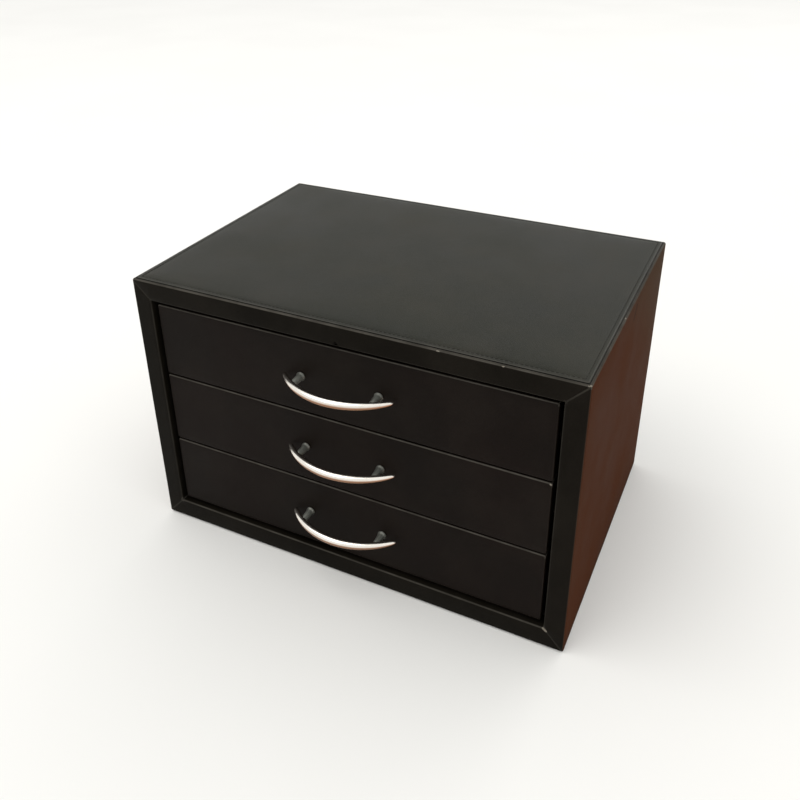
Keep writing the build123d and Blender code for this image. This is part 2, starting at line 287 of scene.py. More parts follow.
def join(name: str, pieces: list[bpy.types.Object]) -> bpy.types.Object:
    """Join objects into one.

    Args:
        name: Name of the joined object.
        pieces: Objects to join.

    Returns:
        The joined object.
    """
    activate(pieces[0])
    for piece in pieces[1:]:
        piece.select_set(True)
    bpy.ops.object.join()
    joined = bpy.context.active_object
    joined.name = name
    return joined


def modify(piece: bpy.types.Object, kind: str, **settings: Any) -> None:
    """Add a modifier and apply it.

    Args:
        piece: Object to modify.
        kind: Blender's name for the modifier.
        settings: Values for the modifier.
    """
    activate(piece)
    modifier = piece.modifiers.new(kind.title(), kind)
    for name, value in settings.items():
        setattr(modifier, name, value)
    bpy.ops.object.modifier_apply(modifier=modifier.name)


def round_edges(piece: bpy.types.Object, width: float, segments: int = 2, sharper_than: float = 60.0) -> None:
    """Round the sharp edges of a piece.

    Args:
        piece: Object to round.
        width: Width of the rounding.
        segments: Faces across the rounding.
        sharper_than: Edges that turn by more than this, in degrees, are rounded.
    """
    angle = math.radians(sharper_than)
    modify(piece, "BEVEL", width=width, segments=segments, limit_method="ANGLE", angle_limit=angle)


def soften(piece: bpy.types.Object, swell: float, span: float, group: str = "") -> None:
    """Give a surface the slight unevenness of something wrapped by hand.

    Args:
        piece: Object to soften.
        swell: Greatest height of the unevenness.
        span: Length over which it rises and falls.
        group: Vertex group that limits it, or nothing.
    """
    texture = bpy.data.textures.new(f"{piece.name}_swell", "CLOUDS")
    texture.noise_scale = span
    texture.noise_depth = 1
    modify(piece, "DISPLACE", texture=texture, strength=swell, mid_level=0.5, vertex_group=group)


def smooth(piece: bpy.types.Object, angle: float = 40.0) -> None:
    """Shade a piece smooth, but for edges sharper than an angle in degrees."""
    activate(piece)
    bpy.ops.object.shade_smooth_by_angle(angle=math.radians(angle))


def outwards(piece: bpy.types.Object) -> None:
    """Merge doubled points and turn every face outwards.

    Args:
        piece: Object to clean.
    """
    with editing(piece):
        bpy.ops.mesh.select_all(action="SELECT")
        bpy.ops.mesh.remove_doubles(threshold=CLEAN_MERGE)
        bpy.ops.mesh.normals_make_consistent(inside=False)


def dress(piece: bpy.types.Object, material: bpy.types.Material) -> None:
    """Give a piece one material."""
    piece.data.materials.clear()
    piece.data.materials.append(material)


def paint(piece: bpy.types.Object, name: str, value: Callable[[Vector], float]) -> None:
    """Write a number to every point of a mesh, worked out from the point's normal.

    Args:
        piece: Mesh object.
        name: Name of the attribute.
        value: Gives the number for a normal.
    """
    numbers = piece.data.attributes.new(name, "FLOAT", "POINT")
    for vertex in piece.data.vertices:
        numbers.data[vertex.index].value = value(vertex.normal)


def place_piece(piece: bpy.types.Object, body: Body, slot: str, *nodes: str) -> bpy.types.Object:
    """Hand a finished piece to its body, and hide the CAD nodes that it stands for.

    Args:
        piece: Finished object, at the origin.
        body: Body that it rides on.
        slot: Material slot of the record; not used.
        nodes: CAD nodes that it stands for.

    Returns:
        The same object.
    """
    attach(piece, body.value)
    if nodes:
        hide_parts(*nodes)
    LOG.info("%s rides on %s with %d faces", piece.name, body.value, len(piece.data.polygons))
    return piece


# ---------------------------------------------------------------- shader groups


class Sheet:
    """Short way of adding linked nodes to a material or a node group."""

    def __init__(self, tree: bpy.types.NodeTree) -> None:
        """Work on one node tree."""
        self.tree = tree

    def add(self, kind: str, inputs: dict[Any, Any] | None = None, **settings: Any) -> bpy.types.Node:
        """Add a node.

        Args:
            kind: Name of the node's type, without its prefix.
            inputs: Value or source socket for each input, by name or place.
            settings: Values for the node itself.

        Returns:
            The new node.
        """
        node = self.tree.nodes.new(f"ShaderNode{kind}")
        for name, value in settings.items():
            setattr(node, name, value)
        for name, value in (inputs or {}).items():
            if isinstance(value, bpy.types.NodeSocket):
                self.tree.links.new(value, node.inputs[name])
            else:
                node.inputs[name].default_value = value
        return node

    def math(self, operation: str, first: Any, second: Any = 0.0, third: Any = None) -> bpy.types.NodeSocket:
        """Result of a sum on up to three values."""
        inputs = {0: first, 1: second} | ({} if third is None else {2: third})
        return self.add("Math", inputs, operation=operation).outputs[0]

    def vector(self, operation: str, first: Any, second: Any = (0, 0, 0), third: Any = None) -> Any:
        """Result of a sum on up to three vectors."""
        inputs = {0: first, 1: second} | ({} if third is None else {2: third})
        return self.add("VectorMath", inputs, operation=operation).outputs[0]

    def part(self, where: Any, axis: Axis) -> bpy.types.NodeSocket:
        """One part of a vector."""
        return self.add("SeparateXYZ", {0: where}).outputs[axis.value]

    def ramp(self, value: Any, low: float, high: float, to_low: float = 0.0, to_high: float = 1.0) -> Any:
        """Smooth step of a value between two limits.

        Args:
            value: Source socket.
            low: Value that gives to_low.
            high: Value that gives to_high.
            to_low: Result at and before low.
            to_high: Result at and after high.

        Returns:
            The result's socket.
        """
        inputs = {"Value": value, "From Min": low, "From Max": high, "To Min": to_low, "To Max": to_high}
        return self.add("MapRange", inputs, interpolation_type="SMOOTHSTEP").outputs["Result"]

    def noise(self, where: Any, scale: Any, detail: float = 2.0, roughness: float = 0.5) -> Any:
        """Height of a noise at a place."""
        inputs = {"Vector": where, "Scale": scale, "Detail": detail, "Roughness": roughness}
        return self.add("TexNoise", inputs).outputs["Fac"]

    def mix(self, factor: Any, first: Any, second: Any, blend: str = "MIX") -> bpy.types.NodeSocket:
        """Mix of two colours.

        Args:
            factor: Share of the second colour.
            first: First colour or its socket.
            second: Second colour or its socket.
            blend: How the second goes over the first.

        Returns:
            The mixed colour's socket.
        """
        inputs = {"Factor": factor, 6: first, 7: second}
        return self.add("Mix", inputs, data_type="RGBA", blend_type=blend).outputs[2]


@dataclass
class Group:
    """Shader node group that is made once and used by many materials."""

    name: str
    inputs: dict[str, tuple[str, Any]]
    outputs: dict[str, str]
    tree: bpy.types.NodeTree = field(init=False)

    def __post_init__(self) -> None:
        """Make the group's sockets and its inner nodes."""
        self.tree = bpy.data.node_groups.new(self.name, "ShaderNodeTree")
        for name, (kind, default) in self.inputs.items():
            socket = self.tree.interface.new_socket(name, in_out="INPUT", socket_type=f"NodeSocket{kind}")
            if default is not None:
                socket.default_value = default
        for name, kind in self.outputs.items():
            self.tree.interface.new_socket(name, in_out="OUTPUT", socket_type=f"NodeSocket{kind}")
        sheet = Sheet(self.tree)
        source = self.tree.nodes.new("NodeGroupInput")
        target = self.tree.nodes.new("NodeGroupOutput")
        for name, socket in self.fill(sheet, source.outputs).items():
            self.tree.links.new(socket, target.inputs[name])

    def fill(self, sheet: Sheet, given: Any) -> dict[str, bpy.types.NodeSocket]:
        """Add the inner nodes.

        Args:
            sheet: Adds nodes to this group.
            given: Sockets of the group's inputs.

        Returns:
            Source socket of each output.
        """
        raise NotImplementedError

    def use(self, sheet: Sheet, inputs: dict[str, Any]) -> Any:
        """Place the group in a material.

        Args:
            sheet: Sheet of the material.
            inputs: Value or source socket for each input, by name.

        Returns:
            The group's output sockets.
        """
        node = sheet.tree.nodes.new("ShaderNodeGroup")
        node.node_tree = self.tree
        for name, value in inputs.items():
            if isinstance(value, bpy.types.NodeSocket):
                sheet.tree.links.new(value, node.inputs[name])
            else:
                node.inputs[name].default_value = value
        return node.outputs


class LeatherGrain(Group):
    """Pebbled grain of faux leather: fine cells with creases between them, and broad soft folds."""

    def __init__(self) -> None:
        """Name the sockets."""
        super().__init__(
            "leather_grain",
            {"Vector": ("Vector", None), "Cells": ("Float", 900.0), "Folds": ("Float", 30.0)},
            {"Height": "Float", "Creases": "Float", "Mottle": "Float"},
        )

    def fill(self, sheet: Sheet, given: Any) -> dict[str, bpy.types.NodeSocket]:
        """Cells from a warped Voronoi, folds from noise.

        Args:
            sheet: Adds nodes to the group.
            given: Sockets of the group's inputs.

        Returns:
            Source socket of each output.
        """
        where = given["Vector"]
        warp = sheet.add("TexNoise", {"Vector": where, "Scale": 260.0, "Detail": 2.0}).outputs["Color"]
        shifted = sheet.vector("MULTIPLY_ADD", warp, (1.2 * MM, 1.2 * MM, 1.2 * MM), where)
        pattern = {"Vector": shifted, "Scale": given["Cells"]}
        cells = sheet.add("TexVoronoi", pattern, feature="DISTANCE_TO_EDGE").outputs["Distance"]
        creases = sheet.ramp(cells, 0.0, 0.16, 1.0, 0.0)
        pores = sheet.noise(where, 2600.0, 2.0)
        folds = sheet.noise(where, given["Folds"], 3.0)
        fine = sheet.math("MULTIPLY_ADD", pores, 0.18, sheet.math("MULTIPLY", creases, -0.5))
        height = sheet.math("MULTIPLY_ADD", folds, 0.35, fine)
        mottle = sheet.noise(where, 14.0, 4.0, 0.6)
        return {"Height": height, "Creases": creases, "Mottle": mottle}


class EdgeRub(Group):
    """Rubbing along the edges of a box, broken up by noise, and a thin line along the edges that materials
    use for painted highlights.
    """

    def __init__(self) -> None:
        """Name the sockets."""
        super().__init__(
            "edge_rub",
            {
                "Vector": ("Vector", None),
                "Centre": ("Vector", (0, 0, 0)),
                "Half": ("Vector", (1, 1, 1)),
                "Width": ("Float", 0.002),
                "Bare": ("Float", 0.5),
            },
            {"Mask": "Float", "Nearness": "Float", "Line": "Float"},
        )

    def fill(self, sheet: Sheet, given: Any) -> dict[str, bpy.types.NodeSocket]:
        """Second smallest distance to the box's sides is small only near an edge.

        Args:
            sheet: Adds nodes to the group.
            given: Sockets of the group's inputs.

        Returns:
            Source socket of each output.
        """
        offset = sheet.vector("SUBTRACT", given["Vector"], given["Centre"])
        inside = sheet.vector("SUBTRACT", given["Half"], sheet.vector("ABSOLUTE", offset))
        signed = sheet.add("SeparateXYZ", {0: inside}).outputs
        parts = sheet.add("SeparateXYZ", {0: sheet.vector("ABSOLUTE", inside)}).outputs
        low_pair = sheet.math("MINIMUM", parts[0], parts[1])
        high_pair = sheet.math("MAXIMUM", parts[0], parts[1])
        second = sheet.math("MINIMUM", high_pair, sheet.math("MAXIMUM", low_pair, parts[2]))
        deepest = sheet.math("MINIMUM", sheet.math("MINIMUM", signed[0], signed[1]), signed[2])
        beside = sheet.ramp(deepest, -2.0 * MM, -1.5 * MM)
        # thin line along the outer edges, used as a painted highlight
        line = sheet.math("MULTIPLY", sheet.ramp(second, 0.55 * MM, 1.15 * MM, 1.0, 0.0), beside)
        share = sheet.math("DIVIDE", second, given["Width"])
        near = sheet.ramp(share, 0.0, 1.0, 1.0, 0.0)
        breakup = sheet.noise(given["Vector"], 75.0, 6.0, 0.7)
        chance = sheet.math("SUBTRACT", sheet.math("ADD", sheet.math("MULTIPLY", near, 0.42), breakup), 1.0)
        raised = sheet.math("ADD", chance, sheet.math("MULTIPLY", given["Bare"], 0.5))
        return {"Mask": sheet.ramp(raised, 0.0, 0.06), "Nearness": near, "Line": line}


class Scuff(Group):
    """One ragged scuff along a short line."""

    def __init__(self) -> None:
        """Name the sockets."""
        super().__init__(
            "scuff",
            {
                "Vector": ("Vector", None),
                "Start": ("Vector", (0, 0, 0)),
                "Run": ("Vector", (0, 0, 0.001)),
                "Radius": ("Float", 0.003),
                "Ragged": ("Float", 1.5),
            },
            {"Mask": "Float"},
        )

    def fill(self, sheet: Sheet, given: Any) -> dict[str, bpy.types.NodeSocket]:
        """Distance from the line, roughened by noise.

        Args:
            sheet: Adds nodes to the group.
            given: Sockets of the group's inputs.

        Returns:
            Source socket of each output.
        """
        run = given["Run"]
        offset = sheet.vector("SUBTRACT", given["Vector"], given["Start"])
        reach = sheet.add("VectorMath", {0: offset, 1: run}, operation="DOT_PRODUCT").outputs["Value"]
        square = sheet.add("VectorMath", {0: run, 1: run}, operation="DOT_PRODUCT").outputs["Value"]
        share = sheet.add("Math", {0: reach, 1: square}, operation="DIVIDE", use_clamp=True).outputs[0]
        nearest = sheet.add("VectorMath", {0: run, "Scale": share}, operation="SCALE").outputs["Vector"]
        gap = sheet.vector("SUBTRACT", offset, nearest)
        length = sheet.add("VectorMath", {0: gap}, operation="LENGTH").outputs["Value"]
        distance = sheet.math("DIVIDE", length, given["Radius"])
        rough = sheet.math("MULTIPLY", sheet.noise(given["Vector"], 620.0, 4.0, 0.7), given["Ragged"])
        return {"Mask": sheet.ramp(sheet.math("ADD", distance, rough), 1.15, 1.4, 1.0, 0.0)}


class Dust(Group):
    """Thin uneven haze of dust with rare specks."""

    def __init__(self) -> None:
        """Name the sockets."""
        super().__init__("dust", {"Vector": ("Vector", None)}, {"Haze": "Float", "Specks": "Float"})

    def fill(self, sheet: Sheet, given: Any) -> dict[str, bpy.types.NodeSocket]:
        """Broad haze from noise and rare specks from Voronoi.

        Args:
            sheet: Adds nodes to the group.
            given: Sockets of the group's inputs.

        Returns:
            Source socket of each output.
        """
        haze = sheet.ramp(sheet.noise(given["Vector"], 22.0, 5.0, 0.65), 0.35, 0.75)
        distance = sheet.add("TexVoronoi", {"Vector": given["Vector"], "Scale": 160.0}).outputs["Distance"]
        return {"Haze": haze, "Specks": sheet.ramp(distance, 0.03, 0.07, 1.0, 0.0)}


class WoodGrain(Group):
    """Grain of hardwood or fibreboard along one axis."""

    def __init__(self) -> None:
        """Name the sockets."""
        super().__init__(
            "wood_grain",
            {"Vector": ("Vector", None), "Stretch": ("Vector", (1, 1, 1)), "Rings": ("Float", 60.0)},
            {"Lines": "Float", "Fibres": "Float"},
        )

    def fill(self, sheet: Sheet, given: Any) -> dict[str, bpy.types.NodeSocket]:
        """Stretched noise for the rings, finer stretched noise for the fibres.

        Args:
            sheet: Adds nodes to the group.
            given: Sockets of the group's inputs.

        Returns:
            Source socket of each output.
        """
        where = sheet.vector("MULTIPLY", given["Vector"], given["Stretch"])
        rings = sheet.noise(where, given["Rings"], 4.0)
        fibres = sheet.noise(where, 900.0, 3.0, 0.6)
        return {"Lines": rings, "Fibres": fibres}


class VelvetPile(Group):
    """Short pile with brushed patches."""

    def __init__(self) -> None:
        """Name the sockets."""
        super().__init__("velvet_pile", {"Vector": ("Vector", None)}, {"Pile": "Float", "Brushed": "Float"})

    def fill(self, sheet: Sheet, given: Any) -> dict[str, bpy.types.NodeSocket]:
        """Fine noise for the fibres, broad noise for the patches.

        Args:
            sheet: Adds nodes to the group.
            given: Sockets of the group's inputs.

        Returns:
            Source socket of each output.
        """
        pile = sheet.noise(given["Vector"], 3200.0, 2.0, 0.7)
        return {"Pile": pile, "Brushed": sheet.noise(given["Vector"], 28.0, 3.0, 0.55)}


@dataclass(frozen=True)
class Groups:
    """The shared shader groups."""

    grain: LeatherGrain = field(default_factory=LeatherGrain)
    rub: EdgeRub = field(default_factory=EdgeRub)
    scuff: Scuff = field(default_factory=Scuff)
    dust: Dust = field(default_factory=Dust)
    wood: WoodGrain = field(default_factory=WoodGrain)
    velvet: VelvetPile = field(default_factory=VelvetPile)


Colour = tuple[float, float, float]


def opaque(colour: Colour) -> tuple[float, float, float, float]:
    """Colour with full alpha."""
    return (*colour, 1.0)


def blank_material(name: str) -> tuple[bpy.types.Material, Sheet, bpy.types.Node, Any]:
    """New material with a Principled shader.

    Args:
        name: Name of the material.

    Returns:
        The material, its sheet, its shader node and the object coordinates' socket.
    """
    material = bpy.data.materials.new(name)
    material.use_nodes = True
    sheet = Sheet(material.node_tree)
    shader = material.node_tree.nodes["Principled BSDF"]
    where = sheet.add("TexCoord").outputs["Object"]
    return material, sheet, shader, where


def bump(sheet: Sheet, shader: bpy.types.Node, height: Any, depth: float, strength: float = 1.0) -> None:
    """Feed a height to a shader's normal.

    Args:
        sheet: Sheet of the material.
        shader: Shader node.
        height: Socket of the height.
        depth: Depth in metres of a height of one.
        strength: Share of the bump that is used.
    """
    node = sheet.add("Bump", {"Height": height, "Distance": depth, "Strength": strength})
    sheet.tree.links.new(node.outputs["Normal"], shader.inputs["Normal"])


@dataclass(frozen=True)
class Mark:
    """A scuff or a slit along a short line."""

    start: Vector
    run: Vector
    radius: float
    ragged: float = 1.5

    def mask(self, sheet: Sheet, groups: "Groups", where: Any) -> bpy.types.NodeSocket:
        """Mask of the mark in a material.

        Args:
            sheet: Sheet of the material.
            groups: Shared shader groups.
            where: Socket of the object coordinates.

        Returns:
            Socket that is one inside the mark.
        """
        inputs = {
            "Vector": where,
            "Start": self.start,
            "Run": self.run,
            "Radius": self.radius,
            "Ragged": self.ragged,
        }
        return groups.scuff.use(sheet, inputs)["Mask"]


@dataclass(frozen=True)
class PaintedSideReflection:
    """Painted reflection on the outer side faces: brown, turning more olive towards the top rear corner."""

    colour: Colour
    high_colour: Colour
    lean: float = 0.8  # how much depth counts beside height
    start: float = 170.0 * MM
    end: float = 310.0 * MM

    def over(self, sheet: Sheet, where: Any) -> bpy.types.NodeSocket:
        """Colour of the painted reflection on the sides.

        Args:
            sheet: Sheet of the material.
            where: Socket of the object coordinates.

        Returns:
            The colour's socket.
        """
        depth = sheet.math("MULTIPLY", sheet.part(where, Axis.Y), self.lean)
        corner = sheet.math("ADD", depth, sheet.part(where, Axis.Z))
        share = sheet.ramp(corner, self.start, self.end)
        return sheet.mix(share, opaque(self.colour), opaque(self.high_colour))


@dataclass(frozen=True)
class LeatherFinish:
    """Faux leather with grain, dust, rubbed edges, painted highlights along the folds, painted shade low on
    the front edge where asked, and scuffs.
    """

    name: str
    box: Box
    colour: Colour = (0.0052, 0.0042, 0.0028)
    high_colour: Colour = (0.0076, 0.0062, 0.0044)
    crease_colour: Colour = (0.003, 0.0026, 0.0021)
    rubbed: Colour = (0.20, 0.18, 0.15)
    # colour of the painted highlights along the folds
    painted_highlight_colour: Colour = (0.075, 0.069, 0.058)
    dust_colour: Colour = (0.17, 0.145, 0.115)
    speck_colour: Colour = (0.2, 0.18, 0.15)
    shade_colour: Colour = (0.0008, 0.0008, 0.0008)
    slit_colour: Colour = (0.005, 0.0028, 0.0018)
    roughness: float = 0.44
    roughness_spread: float = 0.05
    gloss: float = 0.03
    rub_width: float = 2.2 * MM
    bare: float = -0.08
    cells: float = 900.0
    folds: float = 30.0
    depth: float = 0.09 * MM
    dust: float = 0.02
    marks: tuple[Mark, ...] = ()
    slits: tuple[Mark, ...] = ()
    # mitre lines, drawn as faint painted highlights
    creases: tuple[Mark, ...] = ()
    side_reflection: PaintedSideReflection | None = None
    opening: Box | None = None
    shaded_below: float | None = None

    def make(self, groups: Groups) -> bpy.types.Material:
        """Build the material.

        Args:
            groups: Shared shader groups.

        Returns:
            The material.
        """
        material, sheet, shader, where = blank_material(self.name)
        grain = groups.grain.use(sheet, {"Vector": where, "Cells": self.cells, "Folds": self.folds})
        dust = groups.dust.use(sheet, {"Vector": where})
        near = {"Centre": self.box.centre, "Half": self.box.size / 2}
        rub = groups.rub.use(sheet, {"Vector": where, **near, "Width": self.rub_width, "Bare": self.bare})
        side = self.side_mask(sheet, where, grain["Mottle"]) if self.side_reflection else 0.0
        worn = rub["Mask"]
        for mark in self.marks:
            worn = sheet.math("MAXIMUM", worn, mark.mask(sheet, groups, where))
        colour = self.body_colour(sheet, where, grain, side)
        colour = self.dusted(sheet, colour, dust)
        lines = self.painted_highlight_mask(sheet, groups, where, rub["Line"])
        # painted highlights along the folds
        colour = sheet.mix(lines, colour, opaque(self.painted_highlight_colour))
        colour = sheet.mix(worn, colour, opaque(self.rubbed))
        if self.shaded_below is not None:
            shade = self.shade_mask(sheet, where, self.shaded_below)
            colour = sheet.mix(shade, colour, opaque(self.shade_colour))
        for slit in self.slits:
            colour = sheet.mix(slit.mask(sheet, groups, where), colour, opaque(self.slit_colour))
        sheet.tree.links.new(colour, shader.inputs["Base Color"])
        low, high = self.roughness - self.roughness_spread, self.roughness + self.roughness_spread
        rough = sheet.ramp(grain["Mottle"], 0.25, 0.75, low, high)
        rough = sheet.math("ADD", rough, sheet.math("MULTIPLY", dust["Haze"], 0.05))
        polished = sheet.math("SUBTRACT", rough, sheet.math("MULTIPLY", rub["Nearness"], 0.06))
        matt = sheet.math("MULTIPLY", sheet.math("MAXIMUM", worn, side), 0.4)
        sheet.tree.links.new(sheet.math("ADD", polished, matt), shader.inputs["Roughness"])
        shader.inputs["Specular IOR Level"].default_value = self.gloss
        bump(sheet, shader, grain["Height"], self.depth)
        return material

    def body_colour(self, sheet: Sheet, where: Any, grain: Any, side: Any) -> bpy.types.NodeSocket:
        """Colour of the clean leather, with its creases and the painted reflection on the sides.

        Args:
            sheet: Sheet of the material.
            where: Socket of the object coordinates.
            grain: Output sockets of the grain.
            side: Mask of the sides that carry the painted reflection.

        Returns:
            The colour's socket.
        """
        body = sheet.mix(sheet.ramp(grain["Mottle"], 0.3, 0.7), opaque(self.colour), opaque(self.high_colour))
        if self.side_reflection:
            # painted reflection of a warm floor on the sides
            body = sheet.mix(side, body, self.side_reflection.over(sheet, where))
        creased = sheet.math("MULTIPLY", grain["Creases"], 0.35)
        return sheet.mix(creased, body, opaque(self.crease_colour))

    def dusted(self, sheet: Sheet, colour: Any, dust: Any) -> bpy.types.NodeSocket:
        """The colour under its haze and specks of dust.

        Args:
            sheet: Sheet of the material.
            colour: Socket of the clean colour.
            dust: Output sockets of the dust.

        Returns:
            The dusty colour's socket.
        """
        haze = sheet.math("MULTIPLY", dust["Haze"], self.dust)
        dusty = sheet.mix(haze, colour, opaque(self.dust_colour))
        specks = sheet.math("MULTIPLY", dust["Specks"], self.dust * 2)
        return sheet.mix(specks, dusty, opaque(self.speck_colour))

    def shade_mask(self, sheet: Sheet, where: Any, level: float) -> bpy.types.NodeSocket:
        """Mask of the front edge below a level, where the leather is darkened.

        Args:
            sheet: Sheet of the material.
            where: Socket of the object coordinates.
            level: Height below which it is darkened.

        Returns:
            Socket that is one on the darkened edge.
        """
        front = self.box.low.y
        deep = sheet.ramp(sheet.part(where, Axis.Z), level - 0.3 * MM, level, 1.0, 0.0)
        near = sheet.ramp(sheet.part(where, Axis.Y), front + 0.8 * MM, front + 1.6 * MM, 1.0, 0.0)
        return sheet.math("MULTIPLY", deep, near)

    def painted_highlight_mask(self, sheet: Sheet, groups: Groups, where: Any, outer: Any) -> bpy.types.NodeSocket:
        """Mask of the painted highlights along the folds, strongest on folds that face up to the light.

        Args:
            sheet: Sheet of the material.
            groups: Shared shader groups.
            where: Socket of the object coordinates.
            outer: Socket that is one near the outer edges.

        Returns:
            Socket that is one on the lines.
        """
        height = sheet.part(where, Axis.Z)
        top = self.box.high.z
        line = sheet.math("MULTIPLY", outer, sheet.ramp(height, top - 3.0 * MM, top - 2.0 * MM, 0.22, 1.0))
        # with an opening, painted highlights along the top edge and round the opening, strongest on the sill,
        # which faces up
        if self.opening:
            line = sheet.math("MAXIMUM", line, sheet.ramp(height, top - 0.4 * MM, top - 0.1 * MM, 0.0, 0.7))
            inputs = {"Vector": where, "Centre": self.opening.centre, "Half": self.opening.size / 2}
            inner = groups.rub.use(sheet, inputs)["Line"]
            sill = self.opening.low.z
            share = sheet.ramp(height, sill + 2.0 * MM, sill + 3.0 * MM, 0.7, 0.2)
            line = sheet.math("MAXIMUM", line, sheet.math("MULTIPLY", inner, share))
        # mitre lines add faint painted highlights
        for crease in self.creases:
            faint = sheet.math("MULTIPLY", crease.mask(sheet, groups, where), 0.3)
            line = sheet.math("MAXIMUM", line, faint)
        uneven = sheet.ramp(sheet.noise(where, 60.0, 3.0, 0.6), 0.3, 0.7, 0.55, 1.0)
        return sheet.math("MULTIPLY", line, uneven)

    def side_mask(self, sheet: Sheet, where: Any, mottle: Any) -> bpy.types.NodeSocket:
        """Mask of the two outer side faces, a little uneven.

        Args:
            sheet: Sheet of the material.
            where: Socket of the object coordinates.
            mottle: Socket of the broad unevenness.

        Returns:
            Socket that is near one on the sides.
        """
        across = sheet.math("ABSOLUTE", sheet.part(where, Axis.X))
        half = self.box.size.x / 2
        side = sheet.ramp(across, half - 1.0 * MM, half - 0.3 * MM)
        return sheet.math("MULTIPLY", side, sheet.ramp(mottle, 0.2, 0.8, 0.75, 1.0))


@dataclass(frozen=True)
class WoodFinish:
    """Wood or fibreboard with grain along one axis."""

    name: str
    colour: Colour
    dark: Colour
    roughness: float
    along: Axis
    stretch: float = 0.08
    rings: float = 90.0
    gloss: float = 0.3

    def make(self, groups: Groups) -> bpy.types.Material:
        """Build the material.

        Args:
            groups: Shared shader groups.

        Returns:
            The material.
        """
        material, sheet, shader, where = blank_material(self.name)
        stretch = [self.stretch if place == self.along.value else 1.0 for place in range(3)]
        grain = groups.wood.use(sheet, {"Vector": where, "Stretch": stretch, "Rings": self.rings})
        base = sheet.mix(sheet.ramp(grain["Lines"], 0.35, 0.65), opaque(self.colour), opaque(self.dark))
        fibres = sheet.ramp(grain["Fibres"], 0.3, 0.8, 0.0, 0.35)
        fine = sheet.mix(fibres, base, opaque(self.dark), "MULTIPLY")
        sheet.tree.links.new(fine, shader.inputs["Base Color"])
        rough = sheet.ramp(grain["Fibres"], 0.3, 0.7, self.roughness - 0.08, self.roughness + 0.08)
        sheet.tree.links.new(rough, shader.inputs["Roughness"])
        shader.inputs["Specular IOR Level"].default_value = self.gloss
        bump(sheet, shader, sheet.math("ADD", grain["Fibres"], grain["Lines"]), 0.05 * MM)
        return material


@dataclass(frozen=True)
class VelvetFinish:
    """Short-pile velvet or felt."""

    name: str
    colour: Colour
    high_colour: Colour
    sheen: float
    sheen_tint: Colour
    depth: float = 0.12 * MM
    between_fibres: Colour = (0.01, 0.01, 0.01)

    def make(self, groups: Groups) -> bpy.types.Material:
        """Build the material.

        Args:
            groups: Shared shader groups.

        Returns:
            The material.
        """
        material, sheet, shader, where = blank_material(self.name)
        pile = groups.velvet.use(sheet, {"Vector": where})
        brushed = sheet.ramp(pile["Brushed"], 0.35, 0.65)
        base = sheet.mix(brushed, opaque(self.colour), opaque(self.high_colour))
        shaded = sheet.mix(sheet.ramp(pile["Pile"], 0.3, 0.7, 0.5, 0.0), base, opaque(self.between_fibres))
        sheet.tree.links.new(shaded, shader.inputs["Base Color"])
        rough = sheet.ramp(pile["Brushed"], 0.3, 0.7, 0.86, 0.98)
        sheet.tree.links.new(rough, shader.inputs["Roughness"])
        shader.inputs["Specular IOR Level"].default_value = 0.12
        shader.inputs["Sheen Weight"].default_value = self.sheen
        shader.inputs["Sheen Roughness"].default_value = 0.35
        shader.inputs["Sheen Tint"].default_value = opaque(self.sheen_tint)
        bump(sheet, shader, pile["Pile"], self.depth)
        return material


@dataclass(frozen=True)
class MetalFinish:
    """Plated metal with faint smudges, and where asked a painted reflection on the underside and darker,
    rougher posts.
    """

    name: str
    colour: Colour
    smudged: Colour
    roughness: float
    depth: float = 0.0015 * MM
    # colour of the painted reflection on faces that look down
    underside_reflection: Colour | None = None
    post_colour: Colour = (0.33, 0.34, 0.305)
    satin: float = 0.26

    def make(self, groups: Groups) -> bpy.types.Material:
        """Build the material.

        Args:
            groups: Shared shader groups.

        Returns:
            The material.
        """
        material, sheet, shader, where = blank_material(self.name)
        dust = groups.dust.use(sheet, {"Vector": where})
        smudge = sheet.ramp(sheet.noise(where, 140.0, 4.0, 0.6), 0.4, 0.75)
        colour = sheet.mix(sheet.math("MULTIPLY", smudge, 0.6), opaque(self.colour), opaque(self.smudged))
        sheet.tree.links.new(colour, shader.inputs["Base Color"])
        if self.underside_reflection:
            # painted reflection on faces that look down
            under = sheet.add("Attribute", attribute_name=UNDERSIDE).outputs["Fac"]
            on_post = sheet.add("Attribute", attribute_name=POST).outputs["Fac"]
            reflected_underside = sheet.mix(under, colour, opaque(self.underside_reflection))
            plated = sheet.mix(on_post, reflected_underside, opaque(self.post_colour))
            sheet.tree.links.new(plated, shader.inputs["Base Color"])
        rough = sheet.math("ADD", sheet.math("MULTIPLY", smudge, 0.10), self.roughness)
        rough = sheet.math("ADD", rough, sheet.math("MULTIPLY", dust["Haze"], 0.05))
        if self.underside_reflection:
            rough = sheet.math("ADD", rough, sheet.math("MULTIPLY", on_post, self.satin))
        sheet.tree.links.new(rough, shader.inputs["Roughness"])
        shader.inputs["Metallic"].default_value = 1.0
        bump(sheet, shader, sheet.noise(where, 260.0, 2.0, 0.4), self.depth)
        return material


# ---------------------------------------------------------------- studio


